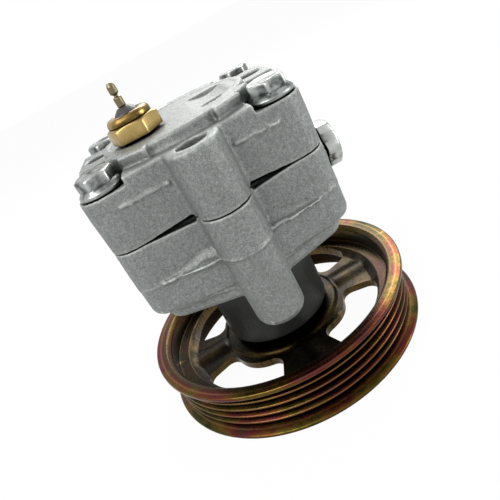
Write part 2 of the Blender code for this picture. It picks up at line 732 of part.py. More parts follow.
def build_housing(materials, gaps):
    """The lower casting, machined."""
    housing = build_housing_body()
    cut(housing, build_shaft_bores(), build_valve_bore(), build_outlet_bore(), *gaps)
    for place, x, y in mount_places():
        cut(housing, build_mount_hole("housing_mount_" + place, x, y, COLUMN_FOOT, HOUSING_TOP))
    for number, (x, y, seat) in enumerate(bolt_places(), 1):
        depth = seat - BOLT_LENGTH - BOLT_TIP_CLEAR
        tapped = cylinder(f"housing_tapped_{number}", BOLT_RADIUS + SEAT_GAP, depth,
                          HOUSING_TOP + CUT_EXTRA, SMALL_STEPS)
        cut(housing, stand(tapped, x, y))
    for number, (x, y) in enumerate(dowel_places(), 1):
        hole = cylinder(f"housing_dowel_hole_{number}", DOWEL_RADIUS + SEAT_GAP,
                        HOUSING_TOP - DOWEL_SINK - SEAT_GAP, HOUSING_TOP + CUT_EXTRA, DOWEL_STEPS)
        cut(housing, stand(hole, x, y))
    weld(housing)
    housing.data.materials.append(materials["casting"])


def build_corner_pocket(side, back):
    """The space over a bolt seat, taken out of one corner of the cover."""
    name = f"cover_pocket_{'left' if side < 0 else 'right'}_{'back' if back else 'front'}"
    step, far = side * STEP_X, side * POCKET_REACH
    near_y, far_y = (EAR_TOP_BACK_Y, POCKET_REACH) if back else (EAR_FRONT_Y, -POCKET_REACH)
    corners = [(step, near_y, STEP_ROUND), (step, far_y, EDGE_ROUND), (far, far_y, EDGE_ROUND),
               (far, near_y, EDGE_ROUND)]
    floor = (BACK_BOLT_SEAT if back else BOLT_SEAT) + SPOTFACE_DEPTH
    return prism(name, rounded_outline(corners), floor, CROWN_TOP)


def build_cap():
    """The raised round cap with its fine edge groove and shallow recess."""
    edge = CAP_RADIUS
    foot = CAP_RADIUS + CAP_FOOT_FLARE
    return lathe("cover_cap", [
        (0.0, CAVITY_ROOF - CUT_EXTRA), (foot, CAVITY_ROOF - CUT_EXTRA),
        (foot, COVER_TOP - CAP_FOOT_FLARE), (edge, COVER_TOP + CAP_FOOT_FLARE), (edge, CROWN_TOP - EDGE_ROUND / 2),
        (edge - EDGE_ROUND / 2, CROWN_TOP), (CAP_RECESS_RADIUS, CROWN_TOP), (CAP_RECESS_RADIUS, CAP_FLOOR),
        (0.0, CAP_FLOOR)], CAP_STEPS)


def build_collar(name, middle, half_spread):
    """A sector of the collar round the cap, with a filleted foot."""
    start, end = middle - half_spread, middle + half_spread
    inner = CAP_RADIUS - CUT_EXTRA
    foot = COVER_TOP + COLLAR_FILLET
    sections = [(COLLAR_RADIUS + COLLAR_FILLET, COVER_TOP - CUT_EXTRA),
                (COLLAR_RADIUS + COLLAR_FILLET, COVER_TOP - CAP_FOOT_FLARE),
                (COLLAR_RADIUS + COLLAR_FILLET * ROUND_SHARE, COVER_TOP + COLLAR_FILLET * ROUND_SHARE),
                (COLLAR_RADIUS, foot), (COLLAR_RADIUS - DRAFT, CROWN_TOP - EDGE_ROUND / 2),
                (COLLAR_RADIUS - EDGE_ROUND / 2 - DRAFT, CROWN_TOP)]
    return loft(name, [(sector_outline(inner, radius, start, end), height) for radius, height in sections])


def build_lug(side):
    """One of the two low pads cast in front of the collar."""
    name = "cover_lug_left" if side < 0 else "cover_lug_right"
    first = (LUG_RADIUS * math.sin(LUG_START), -LUG_RADIUS * math.cos(LUG_START))
    last = (LUG_RADIUS * math.sin(LUG_END), -LUG_RADIUS * math.cos(LUG_END))
    root_scale = (CAP_RADIUS - CUT_EXTRA) / LUG_RADIUS
    corners = [(*first, LUG_ROUND), (*last, LUG_ROUND), (last[0] * root_scale, last[1] * root_scale, LUG_ROUND),
               (first[0] * root_scale, first[1] * root_scale, LUG_ROUND)]
    if side < 0:
        corners = [(-x, y, radius) for x, y, radius in reversed(corners)]
    plan = rounded_outline(corners)
    return loft(name, [(plan, COVER_TOP - CUT_EXTRA), (plan, CROWN_TOP - EDGE_ROUND / 2),
                       (grow(plan, -EDGE_ROUND / 2), CROWN_TOP)])


def build_scoop():
    """The shallow trough cast across the cap beside the switch."""
    depth_of_axis = CAP_FLOOR + SCOOP_RADIUS - SCOOP_DEPTH
    trough = lathe("cover_scoop", [(0.0, -CAP_RADIUS), (SCOOP_RADIUS, -CAP_RADIUS),
                                   (SCOOP_RADIUS, SCOOP_BACK_Y), (0.0, SCOOP_BACK_Y)], SCOOP_STEPS)
    trough = point_along_y(trough, SCOOP_X, depth_of_axis)
    fence = lathe("cover_scoop_fence", [
        (0.0, CAP_FLOOR - CUT_EXTRA), (CAP_GROOVE_INNER, CAP_FLOOR - CUT_EXTRA),
        (CAP_GROOVE_INNER, depth_of_axis), (0.0, depth_of_axis)], CAP_STEPS)
    combine(trough, fence, "INTERSECT")
    return trough


def build_slot():
    """The small pocket in the trough's near end."""
    slot = cylinder("cover_slot", SLOT_RADIUS, CAP_FLOOR - SCOOP_DEPTH - SLOT_DEPTH, CROWN_TOP + CUT_EXTRA,
                    SMALL_STEPS)
    return stand(slot, SCOOP_X, SLOT_Y)


def build_inlet_boss():
    """The suction port's boss on the back."""
    boss = lathe("cover_inlet_boss", [
        (0.0, CAVITY_RADIUS + CUT_EXTRA), (INLET_BOSS_RADIUS + DRAFT, CAVITY_RADIUS + CUT_EXTRA),
        (INLET_BOSS_RADIUS, INLET_BOSS_FACE - EDGE_ROUND), (INLET_BOSS_RADIUS - EDGE_ROUND, INLET_BOSS_FACE),
        (0.0, INLET_BOSS_FACE)], CASTING_STEPS)
    return point_along_y(boss, INLET_X, INLET_HEIGHT)


def build_inlet_bore():
    """The suction port's bore into the cavity."""
    bore = cylinder("cover_inlet_bore", INLET_BORE_RADIUS, CAM_SHORT_RADIUS, INLET_BOSS_FACE + CUT_EXTRA,
                    HOLE_STEPS)
    return point_along_y(bore, INLET_X, INLET_HEIGHT)


def build_cavity():
    """The cartridge's cavity and the seal groove round its mouth."""
    cavity = cylinder("cover_cavity", CAVITY_RADIUS, COVER_BOTTOM - CUT_EXTRA, CAVITY_ROOF)
    outer = COVER_SEAL_CIRCLE + COVER_SEAL_RADIUS + SEAT_GAP
    inner = COVER_SEAL_CIRCLE - COVER_SEAL_RADIUS - SEAT_GAP
    top = COVER_BOTTOM + 2 * COVER_SEAL_RADIUS + SEAT_GAP
    groove = lathe("cover_seal_groove", [(inner, COVER_BOTTOM - CUT_EXTRA), (outer, COVER_BOTTOM - CUT_EXTRA),
                                         (outer, top), (inner, top)])
    return cavity, groove


def build_cover(materials, gaps):
    """The upper casting, machined."""
    plan = rounded_outline(casting_corners())
    cover = loft("cover", [
        (plan, COVER_BOTTOM), (grow(plan, DRAFT / 2), COVER_PARTING), (plan, COVER_TOP - EDGE_ROUND),
        (grow(plan, -EDGE_ROUND * ROUND_SHARE), COVER_TOP - EDGE_ROUND * ROUND_SHARE),
        (grow(plan, -EDGE_ROUND), COVER_TOP)])
    for side in (-1, 1):
        cut(cover, build_corner_pocket(side, False), build_corner_pocket(side, True))
    join(cover, build_cap(), build_collar("cover_collar_front", -math.pi / 2, COLLAR_FRONT_SPREAD),
         build_collar("cover_collar_back", BACK_COLLAR_MIDDLE, COLLAR_BACK_SPREAD),
         build_lug(-1), build_lug(1), build_inlet_boss())
    cut(cover, *build_cavity(), build_scoop(), build_slot(), build_inlet_bore(), *gaps)
    for place, x, y in mount_places():
        cut(cover, build_mount_hole("cover_mount_" + place, x, y, COVER_BOTTOM, COVER_TOP))
    for number, (x, y, seat) in enumerate(bolt_places(), 1):
        above = CROWN_TOP + CUT_EXTRA
        hole = lathe(f"cover_bolt_hole_{number}", [
            (0.0, COVER_BOTTOM - CUT_EXTRA), (BOLT_HOLE_RADIUS, COVER_BOTTOM - CUT_EXTRA), (BOLT_HOLE_RADIUS, seat),
            (SPOTFACE_RADIUS, seat), (SPOTFACE_RADIUS, above), (0.0, above)], CASTING_STEPS, start=BAR_TURN)
        cut(cover, stand(hole, x, y))
    tapped = cylinder("cover_switch_hole", SWITCH_THREAD_RADIUS + SEAT_GAP, CAVITY_ROOF - CUT_EXTRA,
                      CROWN_TOP + CUT_EXTRA, SMALL_STEPS)
    cut(cover, stand(tapped, SWITCH_X, SWITCH_Y))
    weld(cover)
    cover.data.materials.append(materials["casting"])


def pulley_outside():
    """The rim's outer profile from the lower flange up over the rib grooves to the upper flange."""
    points = [(RIM_FOOT_INNER_RADIUS, 0.0), (LOWER_FLANGE_RADIUS - FLANGE_ROUND, 0.0),
              (LOWER_FLANGE_RADIUS, FLANGE_ROUND), (LOWER_FLANGE_RADIUS, LOWER_FLANGE_HEIGHT - FLANGE_SLOPE)]
    for index in range(GROOVE_COUNT):
        middle = LOWER_FLANGE_HEIGHT + (index + 0.5) * RIB_PITCH
        crest = RIB_PITCH / 2 - CREST_WIDTH / 2
        points += [(CREST_RADIUS, middle - crest), (CREST_RADIUS - GROOVE_DEPTH, middle - GROOVE_FLOOR_WIDTH / 2),
                   (CREST_RADIUS - GROOVE_DEPTH, middle + GROOVE_FLOOR_WIDTH / 2), (CREST_RADIUS, middle + crest)]
    points += [(UPPER_FLANGE_RADIUS, RIM_HEIGHT - UPPER_FLANGE_HEIGHT + FLANGE_ROUND),
               (UPPER_FLANGE_RADIUS, RIM_HEIGHT - FLANGE_ROUND),
               (UPPER_FLANGE_RADIUS - FLANGE_ROUND, RIM_HEIGHT)]
    return points


def pulley_inside():
    """The profile inside the rim: wall, ledge, web, hub, and back under the web to the rim's foot."""
    bore = HUB_SEAT_RADIUS + PRESSED_GAP
    web_foot = WEB_HEIGHT - WEB_THICKNESS
    return [
        (RIM_INNER_RADIUS + RIM_LIP_ROUND, RIM_HEIGHT),
        (RIM_INNER_RADIUS + RIM_LIP_ROUND * ROUND_SHARE, RIM_HEIGHT - RIM_LIP_ROUND * ROUND_SHARE),
        (RIM_INNER_RADIUS, RIM_HEIGHT - RIM_LIP_ROUND), (RIM_INNER_RADIUS, LEDGE_HEIGHT + RIM_LIP_ROUND),
        (RIM_INNER_RADIUS - RIM_LIP_ROUND, LEDGE_HEIGHT), (LEDGE_INNER_RADIUS, LEDGE_HEIGHT),
        (LEDGE_INNER_RADIUS - WEB_STEP_ROUND, LEDGE_HEIGHT - WEB_STEP_ROUND / 2),
        (LEDGE_INNER_RADIUS - 2 * WEB_STEP_ROUND, WEB_HEIGHT),
        (HUB_PLATEAU_RADIUS + HUB_PLATEAU_RISE, WEB_HEIGHT), (HUB_PLATEAU_RADIUS, PLATEAU_TOP),
        (HUB_BOSS_RADIUS + HUB_PLATEAU_RISE, PLATEAU_TOP), (HUB_BOSS_RADIUS, PLATEAU_TOP + HUB_PLATEAU_RISE),
        (HUB_BOSS_RADIUS, HUB_BOSS_TOP), (bore, HUB_BOSS_TOP), (bore, HUB_BOTTOM),
        (HUB_PLATEAU_RADIUS, HUB_BOTTOM), (HUB_PLATEAU_RADIUS + HUB_PLATEAU_RISE, web_foot),
        (LEDGE_INNER_RADIUS - WEB_STEP_ROUND, web_foot), (LEDGE_INNER_RADIUS + WEB_STEP_ROUND,
                                                          LEDGE_HEIGHT - WEB_THICKNESS),
        (RIM_FOOT_INNER_RADIUS, LEDGE_HEIGHT - WEB_THICKNESS)]


def window_outline():
    """Plan of one web window, centred on the +X axis."""
    half = WINDOW_SPREAD / 2
    ends = []
    for radius, angle in ((WINDOW_INNER_RADIUS, -half), (WINDOW_OUTER_RADIUS, -half),
                          (WINDOW_OUTER_RADIUS, half), (WINDOW_INNER_RADIUS, half)):
        ends.append((radius * math.cos(angle), radius * math.sin(angle), WINDOW_CORNER))
    outer_bow = (WINDOW_OUTER_RADIUS / math.cos(half), 0.0, WINDOW_OUTER_RADIUS * WINDOW_OUTER_BOW)
    inner_bow = (WINDOW_INNER_RADIUS / math.cos(half), 0.0, WINDOW_INNER_RADIUS * WINDOW_INNER_BOW)
    return rounded_outline([ends[0], ends[1], outer_bow, ends[2], ends[3], inner_bow], WINDOW_ARC_STEP)


def rotated(outline, angle):
    """Turn a plan outline about the origin."""
    cosine, sine = math.cos(angle), math.sin(angle)
    return [(x * cosine - y * sine, x * sine + y * cosine) for x, y in outline]


def build_spoke_bulge(index):
    """The soft raised pad pressed into one spoke."""
    inner, outer, half = HUB_PLATEAU_RADIUS, LEDGE_INNER_RADIUS - 2 * WEB_STEP_ROUND, SPOKE_BULGE_HALF_WIDTH
    corner = half * SPOKE_BULGE_CORNER_SHARE
    plan = rounded_outline([(inner, -half, corner), (outer, -half, corner), (outer, half, corner),
                            (inner, half, corner)])
    plan = rotated(plan, -math.pi / 2 + SPOKE_TURN + index * 2 * math.pi / SPOKE_COUNT)
    rise = SPOKE_BULGE
    return loft(f"pulley_spoke_{index + 1}", [
        (plan, WEB_HEIGHT - WEB_THICKNESS / 2), (plan, WEB_HEIGHT),
        (grow(plan, -rise), WEB_HEIGHT + rise * SPOKE_BULGE_SHOULDER),
        (grow(plan, -rise * SPOKE_BULGE_RUN), WEB_HEIGHT + rise)])


def build_pulley(materials):
    """The pressed belt pulley with four windows in its web."""
    pulley = lathe("pulley", pulley_outside() + pulley_inside(), RIM_STEPS)
    for index in range(SPOKE_COUNT):
        join(pulley, build_spoke_bulge(index))
    for index in range(SPOKE_COUNT):
        turn = -math.pi / 4 + SPOKE_TURN + index * 2 * math.pi / SPOKE_COUNT
        window = prism(f"pulley_window_{index + 1}", rotated(window_outline(), turn),
                       WEB_HEIGHT - WEB_THICKNESS - CUT_EXTRA, LEDGE_HEIGHT + CUT_EXTRA)
        cut(pulley, window)
    keyway = build_bar("pulley_keyway", KEY_WIDTH / 2 + PRESSED_GAP, 0.0,
                       HUB_SEAT_RADIUS + KEY_RISE + PRESSED_GAP, HUB_BOTTOM - CUT_EXTRA, HUB_BOSS_TOP + CUT_EXTRA)
    cut(pulley, keyway)
    pulley.data.materials.append(materials["pulley"])


def build_bar(name, half_width, near, far, bottom, top):
    """A square bar that stands off the shaft axis along +X."""
    return prism(name, [(near, -half_width), (far, -half_width), (far, half_width), (near, half_width)],
                 bottom, top)


def key_heights():
    """Bottom and top of the pulley key."""
    middle = (HUB_BOTTOM + HUB_BOSS_TOP) / 2
    return middle - KEY_LENGTH / 2, middle + KEY_LENGTH / 2


def spline_outline(extra):
    """Plan of the splines between shaft and rotor."""
    outline = []
    pitch = 2 * math.pi / SPLINE_COUNT
    for index in range(SPLINE_COUNT):
        for share, radius in ((-SPLINE_ROOT_SHARE, SPLINE_ROOT_RADIUS), (-SPLINE_TIP_SHARE, SPLINE_RADIUS),
                              (SPLINE_TIP_SHARE, SPLINE_RADIUS), (SPLINE_ROOT_SHARE, SPLINE_ROOT_RADIUS)):
            angle = (index + share) * pitch
            outline.append(((radius + extra) * math.cos(angle), (radius + extra) * math.sin(angle)))
    return outline


def build_shaft(materials):
    """The stepped drive shaft."""
    shoulder = HUB_BOSS_TOP + SEAT_GAP
    groove = ROTOR_TOP + SEAT_GAP - RUNNING_GAP
    groove_top = groove + SNAP_RING_THICKNESS + 2 * RUNNING_GAP
    shaft = lathe("shaft", [
        (0.0, SHAFT_END), (SHAFT_THREAD_RADIUS - SHAFT_CHAMFER, SHAFT_END),
        (SHAFT_THREAD_RADIUS, SHAFT_END + SHAFT_CHAMFER), (SHAFT_THREAD_RADIUS, HUB_BOTTOM),
        (HUB_SEAT_RADIUS, HUB_BOTTOM + SHAFT_CHAMFER), (HUB_SEAT_RADIUS, shoulder),
        (SHAFT_RADIUS, shoulder), (SHAFT_RADIUS, ROTOR_FOOT - SEAT_GAP),
        (SPLINE_ROOT_RADIUS - SHAFT_CHAMFER / 2, ROTOR_FOOT - SEAT_GAP),
        (SPLINE_ROOT_RADIUS - SHAFT_CHAMFER / 2, ROTOR_TOP), (SHAFT_TAIL_RADIUS, ROTOR_TOP),
        (SHAFT_TAIL_RADIUS, groove), (SNAP_RING_SEAT_RADIUS, groove), (SNAP_RING_SEAT_RADIUS, groove_top),
        (SHAFT_TAIL_RADIUS, groove_top), (SHAFT_TAIL_RADIUS, SHAFT_TOP - SHAFT_CHAMFER),
        (SHAFT_TAIL_RADIUS - SHAFT_CHAMFER, SHAFT_TOP), (0.0, SHAFT_TOP)])
    join(shaft, prism("shaft_splines", spline_outline(0.0), ROTOR_FOOT - SEAT_GAP - SHAFT_CHAMFER, ROTOR_TOP))
    bottom, top = key_heights()
    keyway = build_bar("shaft_keyway", KEY_WIDTH / 2 + PRESSED_GAP, HUB_SEAT_RADIUS - KEY_SINK - PRESSED_GAP,
                       HUB_SEAT_RADIUS + CUT_EXTRA, bottom - PRESSED_GAP, top + PRESSED_GAP)
    cut(shaft, keyway)
    shaft.data.materials.append(materials["ground"])


def build_pulley_fixing(materials):
    """The nut, washer and key that hold the pulley on the shaft."""
    washer_top = HUB_BOTTOM - SEAT_GAP
    washer_foot = washer_top - WASHER_THICKNESS
    bore = SHAFT_THREAD_RADIUS + SEAT_GAP
    washer = lathe("nut_washer", [(bore, washer_foot), (WASHER_RADIUS, washer_foot), (WASHER_RADIUS, washer_top),
                                  (bore, washer_top)], HOLE_STEPS)
    nut_top = washer_foot - SEAT_GAP
    nut = prism("pulley_nut", hexagon(NUT_FLATS), nut_top - NUT_HEIGHT, nut_top)
    cut(nut, cylinder("nut_bore", bore, nut_top - NUT_HEIGHT - CUT_EXTRA, nut_top + CUT_EXTRA, HOLE_STEPS))
    bottom, top = key_heights()
    key = build_bar("pulley_key", KEY_WIDTH / 2, HUB_SEAT_RADIUS - KEY_SINK, HUB_SEAT_RADIUS + KEY_RISE, bottom, top)
    for item in (washer, nut):
        item.data.materials.append(materials["zinc"])
    key.data.materials.append(materials["ground"])


def race_profile(wall, shoulder, outwards):
    """Profile of a bearing race; its groove runs round the ball pitch circle."""
    radius = BALL_RADIUS + RACE_GROOVE_GAP
    spread = math.acos(RACE_SHOULDER / radius)
    facing = 0.0 if outwards else math.pi
    groove = []
    for index in range(RACE_ARC_POINTS):
        angle = facing + spread * (2 * index / (RACE_ARC_POINTS - 1) - 1)
        groove.append((BALL_PITCH_RADIUS + radius * math.cos(angle), BEARING_MIDDLE + radius * math.sin(angle)))
    groove.sort(key=lambda point: point[1])
    return [(wall, BEARING_TOP), (wall, BEARING_FOOT), (shoulder, BEARING_FOOT)] + groove + [
        (shoulder, BEARING_TOP)]


def build_bearing(materials):
    """The deep-groove ball bearing and the ring that keeps it in the nose."""
    outer = lathe("bearing_outer_race",
                  race_profile(BEARING_OUTER_RADIUS, BALL_PITCH_RADIUS + RACE_SHOULDER, True))
    inner = lathe("bearing_inner_race",
                  race_profile(SHAFT_RADIUS + PRESSED_GAP, BALL_PITCH_RADIUS - RACE_SHOULDER, False))
    low, high = BEARING_MIDDLE - CAGE_BELOW, BEARING_MIDDLE + CAGE_ABOVE
    near, far = BALL_PITCH_RADIUS - CAGE_WALL / 2, BALL_PITCH_RADIUS + CAGE_WALL / 2
    cage = lathe("bearing_cage", [(near, low), (far, low), (far, high), (near, high)])
    for index in range(BALL_COUNT):
        pocket = build_ball(f"cage_pocket_{index + 1}", BALL_RADIUS + RACE_GROOVE_GAP, index)
        cut(cage, pocket)
        ball = build_ball(f"bearing_ball_{index + 1}", BALL_RADIUS, index)
        ball.data.materials.append(materials["ground"])
    for item in (outer, inner):
        item.data.materials.append(materials["ground"])
    cage.data.materials.append(materials["plastic"])
    foot = BEARING_FOOT - RETAINER_THICKNESS - SEAT_GAP
    rim = BEARING_OUTER_RADIUS + RETAINER_BITE
    outline = sector_outline(rim - RETAINER_WIDTH, rim, RETAINER_OPENING / 2, 2 * math.pi - RETAINER_OPENING / 2)
    ring = prism("bearing_retaining_ring", outline, foot, foot + RETAINER_THICKNESS)
    ring.data.materials.append(materials["spring"])


def build_ball(name, radius, index):
    """One ball, or the space round one, on the pitch circle."""
    mesh = bmesh.new()
    bmesh.ops.create_uvsphere(mesh, u_segments=BALL_SEGMENTS, v_segments=BALL_SEGMENTS * 2 // 3, radius=radius)
    ball = add_object(name, mesh)
    angle = index * 2 * math.pi / BALL_COUNT
    return stand(ball, BALL_PITCH_RADIUS * math.cos(angle), BALL_PITCH_RADIUS * math.sin(angle), BEARING_MIDDLE)


def build_seal_and_bush(materials):
    """The lip seal behind the bearing and the plain bush under the rotor."""
    lip = SHAFT_RADIUS + RUNNING_GAP
    wall = SEAL_RADIUS - SEAL_WALL
    top = SEAL_FOOT + SEAL_WIDTH
    seal = lathe("shaft_seal", [
        (SEAL_RADIUS, SEAL_FOOT), (SEAL_RADIUS, top), (lip + SEAL_LIP_WIDTH, top), (lip, top - SEAL_LIP_WIDTH),
        (lip, top - 2 * SEAL_LIP_WIDTH), (lip + SEAL_LIP_WIDTH, top - 3 * SEAL_LIP_WIDTH),
        (lip + SEAL_LIP_WIDTH, top - SEAL_LIP_WIDTH), (wall, top - SEAL_LIP_WIDTH), (wall, SEAL_FOOT)])
    seal.data.materials.append(materials["rubber"])
    bush = lathe("shaft_bush", [(lip, BUSH_TOP - BUSH_LENGTH), (lip + BUSH_WALL, BUSH_TOP - BUSH_LENGTH),
                                (lip + BUSH_WALL, BUSH_TOP), (lip, BUSH_TOP)])
    bush.data.materials.append(materials["bronze"])


def build_port_cutters(name, bottom, top):
    """Two curved ports through a cartridge plate."""
    cutters = []
    for index, middle in enumerate((math.pi / 4, math.pi * 5 / 4), 1):
        outline = sector_outline(PORT_INNER_RADIUS, PORT_OUTER_RADIUS, middle - PORT_SPREAD / 2,
                                 middle + PORT_SPREAD / 2)
        cutters.append(prism(f"{name}_port_{index}", outline, bottom - CUT_EXTRA, top + CUT_EXTRA))
    return cutters


def build_dowel_holes(name, bottom, top):
    """Holes for the two dowel pins."""
    holes = []
    for number, (x, y) in enumerate(dowel_places(), 1):
        hole = cylinder(f"{name}_dowel_{number}", DOWEL_RADIUS + PRESSED_GAP, bottom - CUT_EXTRA,
                        top + CUT_EXTRA, DOWEL_STEPS)
        holes.append(stand(hole, x, y))
    return holes


def build_plate(name, bore, bottom, top):
    """A round cartridge plate."""
    outer = CAVITY_RADIUS - SEAT_GAP
    plate = lathe(name, [(bore, bottom), (outer, bottom), (outer, top), (bore, top)])
    cut(plate, *build_port_cutters(name, bottom, top), *build_dowel_holes(name, bottom, top))
    return plate


def build_cam_ring():
    """The ring whose inner wall swells twice a turn."""
    outer = CAVITY_RADIUS - SEAT_GAP
    ring = lathe("cam_ring", [(0.0, CAM_FOOT), (outer, CAM_FOOT), (outer, CAM_TOP), (0.0, CAM_TOP)])
    inside = []
    for index in range(RIM_STEPS):
        angle = index * 2 * math.pi / RIM_STEPS
        radius = CAM_SHORT_RADIUS + CAM_LIFT * (1 - math.cos(2 * angle)) / 2
        inside.append((radius * math.cos(angle), radius * math.sin(angle)))
    cut(ring, prism("cam_track", inside, CAM_FOOT - CUT_EXTRA, CAM_TOP + CUT_EXTRA),
        *build_dowel_holes("cam_ring", CAM_FOOT, CAM_TOP))
    return ring


def rotor_outline():
    """Plan of the rotor with its vane slots."""
    outline = []
    pitch = 2 * math.pi / VANE_COUNT
    half = VANE_THICKNESS / 2 + VANE_SIDE_GAP
    mouth = math.asin(half / ROTOR_RADIUS)
    rim = ROTOR_RADIUS * math.cos(mouth)
    for index in range(VANE_COUNT):
        slot = [(rim, -half), (VANE_SLOT_FLOOR, -half), (VANE_SLOT_FLOOR, half), (rim, half)]
        outline += rotated(slot, index * pitch)
        outline += arc_points((0.0, 0.0), ROTOR_RADIUS, index * pitch + mouth, (index + 1) * pitch - mouth, 3)[1:-1]
    return outline


def build_rotor(materials):
    """The slotted rotor, its snap ring and the sliding vanes."""
    rotor = prism("rotor", rotor_outline(), ROTOR_FOOT, ROTOR_TOP)
    cut(rotor, prism("rotor_splines", spline_outline(PRESSED_GAP), ROTOR_FOOT - CUT_EXTRA, ROTOR_TOP + CUT_EXTRA))
    foot = ROTOR_TOP + SEAT_GAP
    inner = SNAP_RING_SEAT_RADIUS + PRESSED_GAP
    outline = sector_outline(inner, SNAP_RING_RADIUS, RETAINER_OPENING / 2, 2 * math.pi - RETAINER_OPENING / 2)
    ring = prism("rotor_snap_ring", outline, foot, foot + SNAP_RING_THICKNESS)
    ring.data.materials.append(materials["spring"])
    half = VANE_THICKNESS / 2
    base, shoulder = VANE_TIP_RADIUS - VANE_LENGTH, VANE_TIP_RADIUS - half / 2
    outline = [(base, -half), (shoulder, -half), (VANE_TIP_RADIUS, -half / 2), (VANE_TIP_RADIUS, half / 2),
               (shoulder, half), (base, half)]
    first = prism("vane_1", outline, ROTOR_FOOT, ROTOR_TOP)
    first.data.materials.append(materials["ground"])
    for index in range(1, VANE_COUNT):
        vane = bpy.data.objects.new(f"vane_{index + 1}", first.data)
        vane.rotation_euler = (0.0, 0.0, index * 2 * math.pi / VANE_COUNT)
        bpy.context.scene.collection.objects.link(vane)
    rotor.data.materials.append(materials["ground"])


def build_spring_washer():
    """The wavy ring that presses the cartridge together."""
    mesh = bmesh.new()
    rings = []
    middle = (PRESSURE_PLATE_TOP + CAVITY_ROOF) / 2
    for index in range(ROUND_STEPS + ROUND_STEPS // 8):
        angle = index * 2 * math.pi / (ROUND_STEPS + ROUND_STEPS // 8)
        height = middle + SPRING_WAVE * math.cos(SPRING_WAVES * angle)
        corners = []
        for radius, lift in ((SPRING_INNER_RADIUS, -1), (SPRING_OUTER_RADIUS, -1), (SPRING_OUTER_RADIUS, 1),
                             (SPRING_INNER_RADIUS, 1)):
            corners.append(mesh.verts.new((radius * math.cos(angle), radius * math.sin(angle),
                                           height + lift * SPRING_THICKNESS / 2)))
        rings.append(corners)
    for index, ring in enumerate(rings):
        following = rings[(index + 1) % len(rings)]
        for side in range(4):
            after = (side + 1) % 4
            mesh.faces.new((ring[side], following[side], following[after], ring[after]))
    return add_object("spring_washer", mesh)


def build_cartridge(materials):
    """The pumping cartridge inside the cover."""
    front = build_plate("front_plate", SHAFT_RADIUS + SEAT_GAP, PLATE_FOOT, PLATE_FOOT + FRONT_PLATE_THICKNESS)
    back = build_plate("pressure_plate", PRESSURE_PLATE_BORE, PRESSURE_PLATE_FOOT, PRESSURE_PLATE_TOP)
    for item in (front, back, build_cam_ring()):
        item.data.materials.append(materials["sintered"])
    build_rotor(materials)
    washer = build_spring_washer()
    washer.data.materials.append(materials["spring"])
    for number, (x, y) in enumerate(dowel_places(), 1):
        pin = cylinder(f"dowel_pin_{number}", DOWEL_RADIUS, HOUSING_TOP - DOWEL_SINK, PRESSURE_PLATE_TOP, DOWEL_STEPS)
        stand(pin, x, y).data.materials.append(materials["ground"])
    seal = build_seal_ring("cover_seal", COVER_SEAL_CIRCLE, COVER_SEAL_RADIUS, COVER_BOTTOM + COVER_SEAL_RADIUS)
    seal.data.materials.append(materials["rubber"])


def build_seal_ring(name, circle, radius, height):
    """A rubber ring of round section."""
    profile = []
    for index in range(SEAL_SECTION_STEPS):
        angle = index * 2 * math.pi / SEAL_SECTION_STEPS
        profile.append((circle + radius * math.cos(angle), height + radius * math.sin(angle)))
    return lathe(name, profile)


def build_spring_coil():
    """The valve's coil spring, wound along +Z from the end of its bore."""
    mesh = bmesh.new()
    start = VALVE_BORE_END + SEAT_GAP + SPRING_WIRE
    end = SPOOL_START - SEAT_GAP - SPRING_WIRE
    steps = SPRING_TURNS * SPRING_TURN_STEPS
    rings = []
    for index in range(steps + 1):
        angle = index * 2 * math.pi / SPRING_TURN_STEPS
        outward = Vector((math.cos(angle), math.sin(angle), 0.0))
        centre = outward * SPRING_COIL_RADIUS + Vector((0.0, 0.0, start + (end - start) * index / steps))
        ring = []
        for side in range(SPRING_SECTION_STEPS):
            section = side * 2 * math.pi / SPRING_SECTION_STEPS
            offset = outward * math.cos(section) + Vector((0.0, 0.0, math.sin(section)))
            ring.append(mesh.verts.new(centre + offset * SPRING_WIRE))
        rings.append(ring)
    for ring, following in zip(rings, rings[1:]):
        for side in range(SPRING_SECTION_STEPS):
            after = (side + 1) % SPRING_SECTION_STEPS
            mesh.faces.new((ring[side], following[side], following[after], ring[after]))
    mesh.faces.new(rings[0])
    mesh.faces.new(rings[-1])
    return add_object("valve_spring", mesh)


